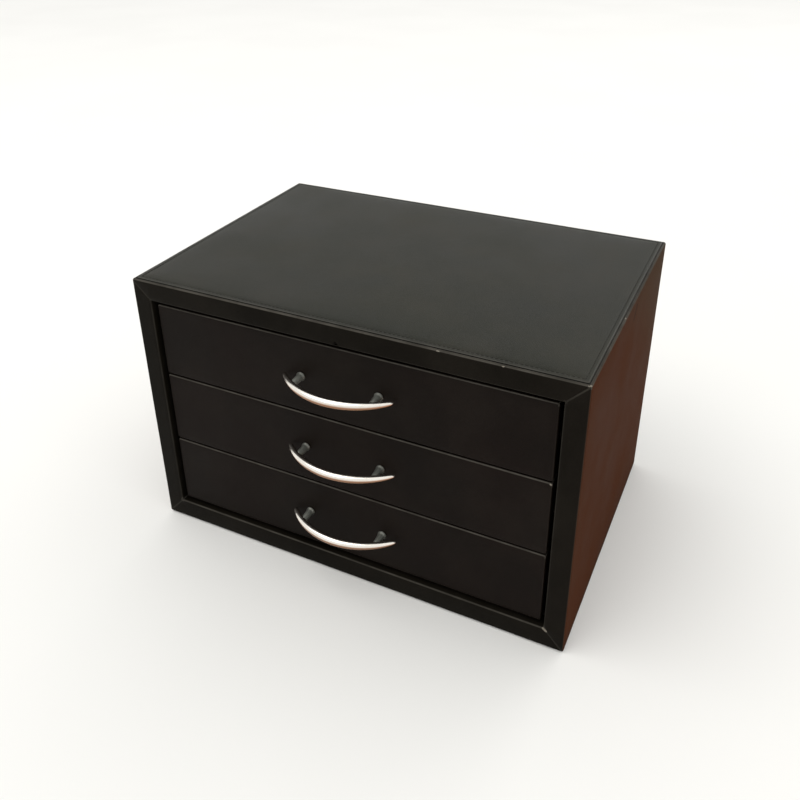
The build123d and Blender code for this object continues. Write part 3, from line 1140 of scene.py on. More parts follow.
@dataclass(frozen=True)
class Eye:
    """The camera: where it looks from and how wide it sees."""

    azimuth: float = 26.13
    elevation: float = 26.95
    roll: float = -0.604
    distance: float = 0.6967
    target: tuple[float, float, float] = (-0.00876, 0.0, 0.1973)
    lens: float = 37.93
    sensor: float = 36.0
    rise: float = -0.1311

    def place(self) -> bpy.types.Object:
        """Make the scene's camera.

        Returns:
            The camera object.
        """
        azimuth = math.radians(self.azimuth)
        elevation = math.radians(self.elevation)
        flat = math.cos(elevation)
        back = Vector((math.sin(azimuth) * flat, -math.cos(azimuth) * flat, math.sin(elevation)))
        data = bpy.data.cameras.new("eye")
        data.lens = self.lens
        data.sensor_width = self.sensor
        data.shift_y = self.rise
        data.clip_start = 0.01
        data.clip_end = 100.0
        camera = bpy.data.objects.new("eye", data)
        bpy.context.scene.collection.objects.link(camera)
        camera.location = Vector(self.target) + back * self.distance
        turn = (-back).to_track_quat("-Z", "Y") @ Euler((0, 0, math.radians(self.roll))).to_quaternion()
        camera.rotation_mode = "QUATERNION"
        camera.rotation_quaternion = turn
        bpy.context.scene.camera = camera
        return camera


@dataclass(frozen=True)
class Lamp:
    """A soft area light."""

    name: str
    place: tuple[float, float, float]
    aim: tuple[float, float, float]
    width: float
    height: float
    power: float
    colour: Colour

    def hang(self) -> bpy.types.Object:
        """Put the light in the scene.

        Returns:
            The light's object.
        """
        data = bpy.data.lights.new(self.name, "AREA")
        data.shape = "RECTANGLE"
        data.size = self.width
        data.size_y = self.height
        data.energy = self.power
        data.color = self.colour
        lamp = bpy.data.objects.new(self.name, data)
        bpy.context.scene.collection.objects.link(lamp)
        lamp.location = self.place
        lamp.rotation_mode = "QUATERNION"
        lamp.rotation_quaternion = (Vector(self.aim) - Vector(self.place)).to_track_quat("-Z", "Y")
        lamp.visible_camera = False
        return lamp


@dataclass
class Studio:
    """Pale floor, soft lights, even surroundings and the camera."""

    floor_size: float = 40.0
    floor_colour: Colour = (0.87, 0.865, 0.85)
    low_air: Colour = (0.92, 0.915, 0.90)
    high_air: Colour = (1.02, 1.02, 1.0)
    air_strength: float = 1.0
    lamps: tuple[Lamp, ...] = (
        Lamp("overhead_panel", (-1.2, -1.3, 3.1), (0.0, 0.0, 0.1), 3.0, 3.0, 34.0, (1.0, 0.985, 0.955)),
        Lamp("back_panel", (0.9, 2.6, 2.2), (0.0, 0.0, 0.1), 1.6, 1.2, 8.0, (1.0, 0.99, 0.97)),
        Lamp("warm_bounce", (0.985, 0.55, 0.006), (0.985, 0.55, 1.0), 1.6, 1.9, 3.0, (1.0, 0.32, 0.09)),
    )

    def build(self) -> None:
        """Make the floor, the surroundings, the lights and the camera."""
        deselect_all()
        bpy.ops.mesh.primitive_plane_add(size=self.floor_size, location=(0, 0, 0))
        floor = bpy.context.active_object
        floor.name = "studio_floor"
        material, sheet, shader, where = blank_material("studio_floor")
        tone = sheet.ramp(sheet.noise(where, 3.0), 0.3, 0.7)
        paler = tuple(min(1.0, part * 1.02) for part in self.floor_colour)
        shade = sheet.mix(tone, opaque(self.floor_colour), opaque(paler))
        sheet.tree.links.new(shade, shader.inputs["Base Color"])
        shader.inputs["Roughness"].default_value = 0.85
        shader.inputs["Specular IOR Level"].default_value = 0.1
        dress(floor, material)
        world = bpy.data.worlds.new("studio_air")
        world.use_nodes = True
        air = world.node_tree.nodes["Background"]
        air.inputs["Strength"].default_value = self.air_strength
        sky = Sheet(world.node_tree)
        rise = sky.add("SeparateXYZ", {0: sky.add("TexCoord").outputs["Generated"]}).outputs[2]
        shade = sky.mix(sky.ramp(rise, 0.1, 0.8), opaque(self.low_air), opaque(self.high_air))
        world.node_tree.links.new(shade, air.inputs["Color"])
        bpy.context.scene.world = world
        bpy.context.scene.view_settings.view_transform = "Standard"
        for lamp in self.lamps:
            lamp.hang()
        Eye().place()
        LOG.info("studio has %d lamps", len(self.lamps))


# ---------------------------------------------------------------- leather pieces


class Edge(Enum):
    """Which side of a dividing plane is kept."""

    BEHIND = "clear_outer"
    BEFORE = "clear_inner"


def solids_of(node: str) -> list[Box]:
    """Boxes of the separate solids of a CAD node.

    Args:
        node: Name of the node.

    Returns:
        One box for each solid, from left to right and then front to back.
    """
    whole = copy_of(bpy.data.objects[node], f"{node}_measure")
    with editing(whole):
        bpy.ops.mesh.select_all(action="SELECT")
        bpy.ops.mesh.remove_doubles(threshold=CLEAN_MERGE)
        bpy.ops.mesh.separate(type="LOOSE")
    boxes = []
    for part in list(bpy.context.selected_objects):
        places = [vertex.co for vertex in part.data.vertices]
        low = Vector([min(place[n] for place in places) for n in range(3)])
        high = Vector([max(place[n] for place in places) for n in range(3)])
        boxes.append(Box(low, high))
        bpy.data.objects.remove(part)
    return sorted(boxes, key=lambda box: (round(box.centre.x, 4), round(box.centre.y, 4)))


def keep_part(piece: bpy.types.Object, point: Vector, normal: Vector, kept: Vector) -> None:
    """Cut a piece by a plane and keep the side that a point is on.

    Args:
        piece: Object to cut.
        point: Point on the plane.
        normal: Direction square to the plane.
        kept: Point on the side that stays.
    """
    side = Edge.BEFORE if (kept - point).dot(normal) > 0 else Edge.BEHIND
    with editing(piece):
        bpy.ops.mesh.select_all(action="SELECT")
        bpy.ops.mesh.bisect(plane_co=point, plane_no=normal, **{side.value: True})


def thicken(piece: bpy.types.Object, thickness: float, rim: float) -> None:
    """Give an open skin its thickness inwards and round its cut edges.

    Args:
        piece: Open skin with its faces outwards.
        thickness: Thickness of the material.
        rim: Width of the rounding on the cut edges.
    """
    outwards(piece)
    modify(piece, "SOLIDIFY", thickness=thickness, offset=-1.0, use_even_offset=True)
    round_edges(piece, rim)


@dataclass
class CaseCovering:
    """Leather over the case: one sheet turned round each wall, and one on the back."""

    skin: bpy.types.Material
    thickness: float = 1.0 * MM
    fold: float = 1.6 * MM
    lip: float = 0.8 * MM
    turn_in: float = 12.0 * MM
    back_turn: float = 12.0 * MM
    rim: float = 1.8 * MM
    seam: float = 0.15 * MM
    back_round: float = 0.35 * MM
    mesh_step: float = 12.0 * MM
    swell: float = 0.22 * MM
    swell_span: float = 45.0 * MM
    whole: Box = field(init=False)
    opening: Box = field(init=False)

    def __post_init__(self) -> None:
        """Find the case's outside and its opening from the boards."""
        self.whole = Box.of_nodes(*[wall.value for wall in Wall])
        left, right = Box.of_nodes("left_board"), Box.of_nodes("right_board")
        bottom, top = Box.of_nodes("bottom_board"), Box.of_nodes("top_board")
        low = Vector((left.high.x, self.whole.low.y, bottom.high.z))
        high = Vector((right.low.x, self.whole.high.y, top.low.z))
        inward = Vector((1, 0, 1)) * self.thickness
        self.opening = Box(low + inward, high - inward)

    def on_opening(self, edge: bmesh.types.BMEdge) -> bool:
        """Whether an edge lies on the front edge of the opening.

        Args:
            edge: Edge of the skin.

        Returns:
            True when it does.
        """
        close = 0.05 * MM
        for vertex in edge.verts:
            if abs(vertex.co.y - self.whole.low.y) > close:
                return False
        centre = middle(edge)
        beside = min(abs(centre.x - self.opening.low.x), abs(centre.x - self.opening.high.x)) < close
        level = min(abs(centre.z - self.opening.low.z), abs(centre.z - self.opening.high.z)) < close
        reach = self.opening.grown(close)
        across = reach.low.x < centre.x < reach.high.x
        upright = reach.low.z < centre.z < reach.high.z
        return (beside and upright) or (level and across)

    def shell(self) -> bpy.types.Object:
        """Skin of all four walls in one, with the opening, the top and the back left out.

        Returns:
            The skin, without thickness.
        """
        whole, opening = self.whole, self.opening
        shell = block("covering", whole)
        rim_low, rim_high = whole.grown(-self.rim).low, whole.grown(-self.rim).high
        back_low, back_high = whole.grown(-self.back_turn).low, whole.grown(-self.back_turn).high
        with editing(shell):
            bpy.ops.mesh.select_all(action="SELECT")
            bpy.ops.mesh.bevel(offset=self.fold, segments=4, affect="EDGES")
            cut_at(Axis.X, [rim_low.x, opening.low.x, back_low.x, back_high.x, opening.high.x, rim_high.x])
            cut_at(Axis.Y, [rim_low.y, rim_high.y])
            cut_at(Axis.Z, [back_low.z, opening.low.z, opening.high.z, back_high.z])
            cut_at(Axis.X, evenly(opening.low.x, opening.high.x, self.mesh_step))
            cut_at(Axis.Y, evenly(rim_low.y, rim_high.y, self.mesh_step))
            cut_at(Axis.Z, evenly(opening.low.z, opening.high.z, self.mesh_step))

            def left_out(face: bmesh.types.BMFace) -> bool:
                """Whether a face is in the top window, the back window or the opening.

                Args:
                    face: Face of the skin.

                Returns:
                    True when it is.
                """
                place = face.calc_center_median()
                if face.normal.z > 0.9:
                    return rim_low.x < place.x < rim_high.x and rim_low.y < place.y < rim_high.y
                if face.normal.y > 0.9:
                    return back_low.x < place.x < back_high.x and back_low.z < place.z < back_high.z
                if face.normal.y < -0.9:
                    across = opening.low.x < place.x < opening.high.x
                    return across and opening.low.z < place.z < opening.high.z
                return False

            pick(shell, Element.FACE, left_out)
            bpy.ops.mesh.delete(type="FACE")
            pick(shell, Element.EDGE, self.on_opening)
            bpy.ops.mesh.extrude_edges_move(TRANSFORM_OT_translate={"value": (0, self.turn_in, 0)})
            pick(shell, Element.EDGE, self.on_opening)
            bpy.ops.mesh.bevel(offset=self.lip, segments=3, affect="EDGES")
        outwards(shell)
        soften(shell, self.swell, self.swell_span)
        return shell

    def mitre(self, side: int, level: int) -> tuple[Vector, Vector]:
        """Plane of one corner's mitre.

        Args:
            side: -1 for left, 1 for right.
            level: -1 for bottom, 1 for top.

        Returns:
            A point on the plane and the direction square to it, towards the side wall.
        """
        outer, edge, inner = self.whole.grown(-self.rim), self.whole, self.opening
        far_x, near_x = (outer.high.x, inner.high.x) if side > 0 else (outer.low.x, inner.low.x)
        far_z, near_z = (edge.high.z, inner.high.z) if level > 0 else (edge.low.z, inner.low.z)
        near = Vector((near_x, 0, near_z))
        run = Vector((far_x, 0, far_z)) - near
        normal = Vector((run.z, 0, -run.x)).normalized()
        if normal.x * side < 0:
            normal.negate()
        return near, normal

    def wall(self, shell: bpy.types.Object, wall: Wall) -> bpy.types.Object:
        """One wall's sheet, cut from the skin at its two mitres.

        Args:
            shell: Skin of all the walls.
            wall: Wall to keep.

        Returns:
            The wall's finished sheet.
        """
        corners = {
            Wall.LEFT: ((-1, -1), (-1, 1)),
            Wall.RIGHT: ((1, -1), (1, 1)),
            Wall.TOP: ((-1, 1), (1, 1)),
            Wall.BOTTOM: ((-1, -1), (1, -1)),
        }[wall]
        centre = self.whole.centre
        kept = {
            Wall.LEFT: Vector((self.whole.low.x, 0, centre.z)),
            Wall.RIGHT: Vector((self.whole.high.x, 0, centre.z)),
            Wall.TOP: Vector((0, 0, self.whole.high.z)),
            Wall.BOTTOM: Vector((0, 0, self.whole.low.z)),
        }[wall]
        sheet = copy_of(shell, f"{wall.value}_sheet")
        for side, level in corners:
            point, normal = self.mitre(side, level)
            towards = 1 if (kept - point).dot(normal) > 0 else -1
            keep_part(sheet, point + normal * towards * self.seam / 2, normal, kept)
        thicken(sheet, self.thickness * SKIN_SHARE, CUT_ROUND)
        smooth(sheet)
        dress(sheet, self.skin)
        return sheet

    def back(self) -> bpy.types.Object:
        """Sheet on the back, inside the turned edges.

        Returns:
            The finished sheet.
        """
        room = Box.of_nodes("back_leather")
        sheet = block("back_leather_sheet", room)
        with editing(sheet):
            cut_at(Axis.X, evenly(room.low.x, room.high.x, self.mesh_step))
            cut_at(Axis.Z, evenly(room.low.z, room.high.z, self.mesh_step))
        round_edges(sheet, self.back_round)
        soften(sheet, self.swell * 0.6, self.swell_span * 1.6)
        smooth(sheet)
        dress(sheet, self.skin)
        return sheet

    def build(self) -> None:
        """Make the four walls' sheets and the back's."""
        shell = self.shell()
        for wall in Wall:
            sheet = place_piece(self.wall(shell, wall), Body.CASE, "case_leather", wall.value)
        bpy.data.objects.remove(shell)
        back = place_piece(self.back(), Body.CASE, "case_leather", "back_leather")
        size = Box.of_nodes("back_leather").size


@dataclass
class TopPanel:
    """Padded leather panel on the top, sewn round its edge."""

    skin: bpy.types.Material
    thread: bpy.types.Material
    stitch_inset: float = 3.0 * MM
    channel: float = 0.55 * MM
    channel_depth: float = 0.14 * MM
    edge_drop: float = 0.65 * MM
    edge_steps: tuple[tuple[float, float], ...] = ((0.12, 0.35), (0.3, 0.25), (0.55, 0.12))
    shoulder: float = 0.05 * MM
    crown: tuple[tuple[float, float], ...] = ((3, 0.30), (5, 0.22), (9, 0.16), (14, 0.08), (20, 0.04))
    swell: float = 0.30 * MM
    swell_span: float = 55.0 * MM
    mesh_step: float = 9.0 * MM
    stitch: float = 2.5 * MM
    stitch_pitch: float = 3.3 * MM
    thread_width: float = 0.5 * MM
    room: Box = field(init=False)

    def __post_init__(self) -> None:
        """Take the panel's room from its CAD node."""
        self.room = Box.of_nodes("top_leather_panel")

    def panel(self) -> bpy.types.Object:
        """The panel with a folded edge, a sewn channel and a slightly crowned middle.

        Each step of the edge and of the crown is an inset and a rise, in millimetres.

        Returns:
            The finished panel.
        """
        room = self.room
        panel = block("padded_top_panel", room)
        with editing(panel):
            pick(panel, Element.FACE, lambda face: face.normal.z > 0.9)
            bpy.ops.transform.translate(value=(0, 0, -self.edge_drop))
            for inset, rise in self.edge_steps:
                bpy.ops.mesh.inset(thickness=inset * MM, depth=rise * MM)
            folded = sum(inset for inset, _ in self.edge_steps) * MM
            bpy.ops.mesh.inset(thickness=self.stitch_inset - self.channel - folded, depth=self.shoulder)
            bpy.ops.mesh.inset(thickness=self.channel, depth=-self.channel_depth)
            bpy.ops.mesh.inset(thickness=self.channel, depth=self.channel_depth)
            for inset, rise in self.crown:
                bpy.ops.mesh.inset(thickness=inset * MM, depth=rise * MM)
            cut_at(Axis.X, evenly(room.low.x, room.high.x, self.mesh_step))
            cut_at(Axis.Y, evenly(room.low.y, room.high.y, self.mesh_step))
        outwards(panel)
        soften(panel, self.swell, self.swell_span)
        smooth(panel, 50)
        dress(panel, self.skin)
        return panel

    def seam(self) -> bpy.types.Object:
        """Row of thread stitches that lies in the channel, all the way round.

        Returns:
            The stitches as one object.
        """
        room = self.room.grown(-self.stitch_inset)
        level = self.room.high.z + 0.02 * MM
        rows = []
        for axis, low, high, ends in (
            (Axis.X, room.low.x, room.high.x, (room.low.y, room.high.y)),
            (Axis.Y, room.low.y, room.high.y, (room.low.x, room.high.x)),
        ):
            count = int((high - low - self.stitch) / self.stitch_pitch) + 1
            pitch = (high - low - self.stitch) / (count - 1)
            for place in ends:
                rows.append(self.row(axis, low, place, level, count, pitch))
        seam = join("top_panel_stitching", rows)
        smooth(seam, 80)
        dress(seam, self.thread)
        return seam

    def row(
        self, axis: Axis, start: float, place: float, level: float, count: int, pitch: float
    ) -> bpy.types.Object:
        """One straight row of stitches.

        Args:
            axis: Axis that the row runs along.
            start: Where the row starts on that axis.
            place: Where the row stands on the other axis.
            level: Height of the stitches' middle.
            count: Number of stitches.
            pitch: Distance from one stitch to the next.

        Returns:
            The row as one object.
        """
        half = self.thread_width / 2
        near = Vector((start, place - half, level - half))
        far = Vector((start + self.stitch, place + half, level + half))
        if axis is Axis.Y:
            near = Vector((place - half, start, level - half))
            far = Vector((place + half, start + self.stitch, level + half))
        stitch = block("stitch", Box(near, far))
        with editing(stitch):
            along = [start + self.stitch * share for share in (0.12, 0.35, 0.65, 0.88)]
            cut_at(axis, along)
            ends = (start + self.stitch * 0.06, start + self.stitch * 0.94)
            pick(stitch, Element.VERTEX, lambda v: not ends[0] < v.co[axis.value] < ends[1])
            bpy.ops.transform.translate(value=(0, 0, -self.thread_width * 0.75))
        modify(stitch, "BEVEL", width=self.thread_width * 0.3, segments=1)
        step = axis.unit * pitch
        modify(
            stitch,
            "ARRAY",
            count=count,
            use_relative_offset=False,
            use_constant_offset=True,
            constant_offset_displace=step,
        )
        return stitch

    def build(self) -> None:
        """Make the panel and its stitching."""
        panel = place_piece(self.panel(), Body.CASE, "top_leather", "top_leather_panel")
        place_piece(self.seam(), Body.CASE, "top_leather")


@dataclass
class FrontCovering:
    """Leather wrapped round one drawer front."""

    number: int
    skin: bpy.types.Material
    fold: float = 1.5 * MM
    rear_turn: float = 6.0 * MM
    thickness: float = 1.0 * MM
    mesh_step: float = 8.0 * MM
    swell: float = 0.24 * MM
    swell_span: float = 48.0 * MM

    @property
    def node(self) -> str:
        """CAD node that the sheet stands for."""
        return f"drawer_{self.number}_front_leather"

    def sheet(self) -> bpy.types.Object:
        """The wrapped sheet, open on the rear inside its turned edge.

        Returns:
            The finished sheet.
        """
        room = Box.of_nodes(self.node)
        window = room.grown(-self.rear_turn)
        sheet = block(f"drawer_{self.number}_front_sheet", room)
        with editing(sheet):
            bpy.ops.mesh.select_all(action="SELECT")
            bpy.ops.mesh.bevel(offset=self.fold, segments=4, affect="EDGES")
            for axis in (Axis.X, Axis.Z):
                limits = (window.low[axis.value], window.high[axis.value])
                cut_at(axis, [*limits, *evenly(*limits, self.mesh_step)])
            cut_at(Axis.Y, evenly(room.low.y, room.high.y, self.mesh_step))

            def in_window(face: bmesh.types.BMFace) -> bool:
                """Whether a face is inside the turned edge on the rear."""
                place = face.calc_center_median()
                across = window.low.x < place.x < window.high.x
                return face.normal.y > 0.9 and across and window.low.z < place.z < window.high.z

            pick(sheet, Element.FACE, in_window)
            bpy.ops.mesh.delete(type="FACE")
        outwards(sheet)
        soften(sheet, self.swell, self.swell_span)
        thicken(sheet, self.thickness * SKIN_SHARE, CUT_ROUND)
        smooth(sheet)
        dress(sheet, self.skin)
        return sheet

    def build(self) -> None:
        """Make the sheet and hand it to its drawer."""
        size = Box.of_nodes(self.node).size
        sheet = place_piece(self.sheet(), Body[f"DRAWER_{self.number}"], "drawer_leather", self.node)


# ---------------------------------------------------------------- drawer insides


@dataclass
class Lining:
    """Velvet tray, padded dividers and, in the top drawer, ring rolls."""

    number: int
    velvet: bpy.types.Material
    cloth: float = 1.2 * MM
    fold: float = 2.4 * MM
    mesh_step: float = 11.0 * MM
    card_round: float = 0.42  # share of a card's thickness
    gather: tuple[tuple[float, float], ...] = ((0.12, 0.0), (0.22, 0.05), (0.25, -0.02), (0.22, -0.12))
    roll_round: float = 0.16
    roll_step: float = 5.0 * MM

    @property
    def body(self) -> Body:
        """Body of the lined drawer."""
        return Body[f"DRAWER_{self.number}"]

    def tray(self) -> bpy.types.Object:
        """Open cloth tray with soft folds at its bottom and its corners.

        Returns:
            The finished tray.
        """
        room = Box.of_nodes(f"drawer_{self.number}_lining")
        tray = block(f"drawer_{self.number}_velvet_tray", room)
        with editing(tray):
            pick(tray, Element.FACE, lambda face: face.normal.z > 0.9)
            bpy.ops.mesh.delete(type="FACE")
            pick(tray, Element.EDGE, lambda edge: not edge.is_boundary)
            bpy.ops.mesh.bevel(offset=self.fold, segments=3, affect="EDGES")
            cut_at(Axis.X, evenly(room.low.x, room.high.x, self.mesh_step))
            cut_at(Axis.Y, evenly(room.low.y, room.high.y, self.mesh_step))
            cut_at(Axis.Z, evenly(room.low.z, room.high.z, self.mesh_step))
        thicken(tray, self.cloth, 0.5 * MM)
        smooth(tray, 50)
        dress(tray, self.velvet)
        return tray

    def dividers(self) -> bpy.types.Object:
        """Velvet-wrapped cards that part the tray.

        Returns:
            The cards as one object.
        """
        node = f"drawer_{self.number}_dividers"
        cards = []
        for room in solids_of(node):
            card = block("divider_card", room)
            axis = Axis.X if room.size.x > room.size.y else Axis.Y
            with editing(card):
                cut_at(axis, evenly(room.low[axis.value], room.high[axis.value], self.mesh_step))
                cut_at(Axis.Z, evenly(room.low.z, room.high.z, self.mesh_step))
            round_edges(card, min(room.size.x, room.size.y) * self.card_round, 4)
            cards.append(card)
        dividers = join(f"drawer_{self.number}_velvet_dividers", cards)
        soften(dividers, 0.3 * MM, 25 * MM)
        smooth(dividers, 60)
        dress(dividers, self.velvet)
        return dividers

    def rolls(self) -> bpy.types.Object:
        """Stuffed rolls with gathered ends, side by side.

        Each step of a gathered end is an inset and a rise, as shares of the roll's radius.

        Returns:
            The rolls as one object.
        """
        rooms = solids_of("drawer_1_ring_rolls")
        first = rooms[0]
        radius = first.size.y / 2
        deselect_all()
        bpy.ops.mesh.primitive_cylinder_add(
            vertices=40,
            radius=radius,
            depth=first.size.x,
            end_fill_type="NGON",
            location=first.centre,
            rotation=(0, math.pi / 2, 0),
        )
        roll = bpy.context.active_object
        settle(roll)
        with editing(roll):
            pick(roll, Element.FACE, lambda face: abs(face.normal.x) > 0.9 and face.calc_area() > radius**2)
            for share, rise in self.gather:
                bpy.ops.mesh.inset(thickness=radius * share, depth=radius * rise)
            cut_at(Axis.X, evenly(first.low.x, first.high.x, self.roll_step))
        round_edges(roll, radius * self.roll_round, 3, 70.0)
        soften(roll, 0.7 * MM, 16 * MM)
        smooth(roll, 60)
        rolls = [roll]
        for number, room in enumerate(rooms[1:], start=2):
            twin = copy_of(roll, f"ring_roll_{number}")
            bpy.ops.transform.translate(value=room.centre - first.centre)
            settle(twin)
            rolls.append(twin)
        padded = join("drawer_1_padded_ring_rolls", rolls)
        dress(padded, self.velvet)
        return padded

    def build(self) -> None:
        """Make the tray, the dividers and the rolls."""
        name = f"drawer_{self.number}"
        tray = place_piece(self.tray(), self.body, "lining_velvet", f"{name}_lining")
        size = Box.of_nodes(f"{name}_lining").size
        place_piece(self.dividers(), self.body, "lining_velvet", f"{name}_dividers")
        if self.number == 1:
            rolls = place_piece(self.rolls(), self.body, "lining_velvet", f"{name}_ring_rolls")


@dataclass
class BaseFelt:
    """Felt sheet glued under the case."""

    felt: bpy.types.Material
    corner: float = 6.0 * MM
    mesh_step: float = 14.0 * MM
    edge_round: float = 0.25 * MM

    def build(self) -> None:
        """Make the sheet and hand it to the case."""
        room = Box.of_nodes("base_felt")
        sheet = block("base_felt_sheet", room)
        with editing(sheet):
            pick(sheet, Element.EDGE, lambda edge: abs(edge.verts[0].co.z - edge.verts[1].co.z) > 0.5 * MM)
            bpy.ops.mesh.bevel(offset=self.corner, segments=6, affect="EDGES")
            cut_at(Axis.X, evenly(room.low.x, room.high.x, self.mesh_step))
            cut_at(Axis.Y, evenly(room.low.y, room.high.y, self.mesh_step))
        round_edges(sheet, self.edge_round)
        smooth(sheet)
        dress(sheet, self.felt)
        place_piece(sheet, Body.CASE, "base_felt", "base_felt")


# ---------------------------------------------------------------- handles


@dataclass
class BowHandle:
    """Cast bow pull: a tapered bow on two flared posts."""

    metal: bpy.types.Material
    radius: float = 3.3 * MM
    tip_radius: float = 1.6 * MM
    taper: float = 0.6
    post_spacing: float = 64.0 * MM
    post_base: float = 3.0 * MM
    post_neck: float = 2.3 * MM
    flare: float = 1.22
    flare_steps: tuple[float, float, float] = (0.5 * MM, 1.4 * MM, 2.6 * MM)
    post_round: float = 0.25 * MM
    tip_reach: float = 3.0 * MM
    tip_shares: tuple[float, ...] = (0.98, 0.9, 0.7, 0.4)
    stations: int = 64
    sides: int = 32
    post_reach: float = field(init=False, default=0.0)  # found when the bow is made

    def bow(self, room: Box) -> bpy.types.Object:
        """Sweep the tapered bow along its arc, from the left tip to the right one.

        Args:
            room: Box of the whole handle.

        Returns:
            The bow.
        """
        face = room.high.y
        half = room.size.x / 2 - self.tip_radius
        reach = room.size.y - self.radius
        rise = reach - self.tip_reach
        arc = (half**2 + rise**2) / (2 * rise)
        end = math.asin(half / arc)
        centre = Vector((room.centre.x, face - reach + arc, room.centre.z))
        cap = math.asin(min(1.0, self.tip_radius / arc))
        even = [-end - cap + (2 * (end + cap)) * n / self.stations for n in range(self.stations + 1)]
        turns = [-end - cap * share for share in self.tip_shares]
        turns += [turn for turn in even if abs(turn) < end]
        turns += [end + cap * share for share in reversed(self.tip_shares)]

        def thickness(turn: float) -> float:
            """Radius of the bow at a turn.

            Args:
                turn: Angle along the arc from its middle.

            Returns:
                The radius.
            """
            if abs(turn) > end:
                past = (abs(turn) - end) / cap
                return self.tip_radius * math.sqrt(max(0.0, 1 - past**2))
            along = min(1.0, abs(arc * math.sin(turn)) / half)
            return self.tip_radius + (self.radius - self.tip_radius) * (1 - along**2) ** self.taper

        def station(turn: float) -> Vector:
            """Centre of the bow at a turn."""
            return centre + Vector((math.sin(turn), -math.cos(turn), 0)) * arc

        deselect_all()
        bpy.ops.mesh.primitive_circle_add(
            vertices=self.sides,
            radius=thickness(turns[0]),
            fill_type="TRIFAN",
            location=station(turns[0]),
            rotation=(0, math.pi / 2, turns[0]),
        )
        bow = bpy.context.active_object
        bow.name = "bow"
        settle(bow)
        with editing(bow):
            pick(bow, Element.EDGE, lambda edge: edge.is_boundary)
            for before, after in zip(turns, turns[1:]):
                step = station(after) - station(before)
                bpy.ops.mesh.extrude_edges_move(TRANSFORM_OT_translate={"value": step})
                bpy.ops.transform.rotate(
                    value=before - after, orient_axis="Z", center_override=station(after)
                )
                scale = thickness(after) / thickness(before)
                bpy.ops.transform.resize(value=(scale, scale, scale), center_override=station(after))
            bpy.ops.mesh.edge_face_add()
            bpy.ops.mesh.poke()
        outwards(bow)
        self.post_reach = face - station(math.asin(self.post_spacing / 2 / arc)).y
        return bow

    def post(self, room: Box, side: int) -> bpy.types.Object:
        """Post from the drawer front to the bow.

        Args:
            room: Box of the whole handle.
            side: -1 for left, 1 for right.

        Returns:
            The post.
        """
        face = room.high.y
        length = self.post_reach
        place = (room.centre.x + side * self.post_spacing / 2, face - length / 2, room.centre.z)
        deselect_all()
        bpy.ops.mesh.primitive_cone_add(
            vertices=self.sides,
            radius1=self.post_base,
            radius2=self.post_neck,
            depth=length,
            location=place,
            rotation=(math.pi / 2, 0, 0),
        )
        post = bpy.context.active_object
        settle(post)
        with editing(post):
            cut_at(Axis.Y, [face - step for step in self.flare_steps])
            wide, half_way, _ = self.flare_steps
            pick(post, Element.VERTEX, lambda vertex: vertex.co.y > face - wide - 0.2 * MM)
            centre = (place[0], face, place[2])
            bpy.ops.transform.resize(value=(self.flare, 1, self.flare), center_override=centre)
            pick(post, Element.VERTEX, lambda vertex: abs(vertex.co.y - face + half_way) < 0.1 * MM)
            gentle = 1 + (self.flare - 1) * 0.3
            bpy.ops.transform.resize(value=(gentle, 1, gentle), center_override=centre)
        round_edges(post, self.post_round)
        outwards(post)
        return post

    def build(self) -> None:
        """Make one handle, and a copy for each further drawer."""
        room = Box.of_nodes("drawer_1_handle")
        bow = self.bow(room)
        posts = [self.post(room, -1), self.post(room, 1)]
        # share of each point in the painted reflection on the underside
        paint(bow, UNDERSIDE, lambda normal: max(0.0, min(1.0, 0.5 + 5.0 * (0.22 - normal.z))))
        for post in posts:
            paint(post, UNDERSIDE, lambda normal: 0.0)
        for part, is_post in ((bow, 0.0), (posts[0], 1.0), (posts[1], 1.0)):
            paint(part, POST, lambda normal, share=is_post: share)
        handle = join("drawer_1_bow_handle", [bow, *posts])
        smooth(handle, 50)
        dress(handle, self.metal)
        handles = {1: handle}
        for number in (2, 3):
            twin = copy_of(handle, f"drawer_{number}_bow_handle")
            drop = Box.of_nodes(f"drawer_{number}_handle").centre - room.centre
            bpy.ops.transform.translate(value=drop)
            settle(twin)
            handles[number] = twin
        for number, piece in handles.items():
            place_piece(piece, Body[f"DRAWER_{number}"], "handle_chrome", f"drawer_{number}_handle")


# ---------------------------------------------------------------- the whole


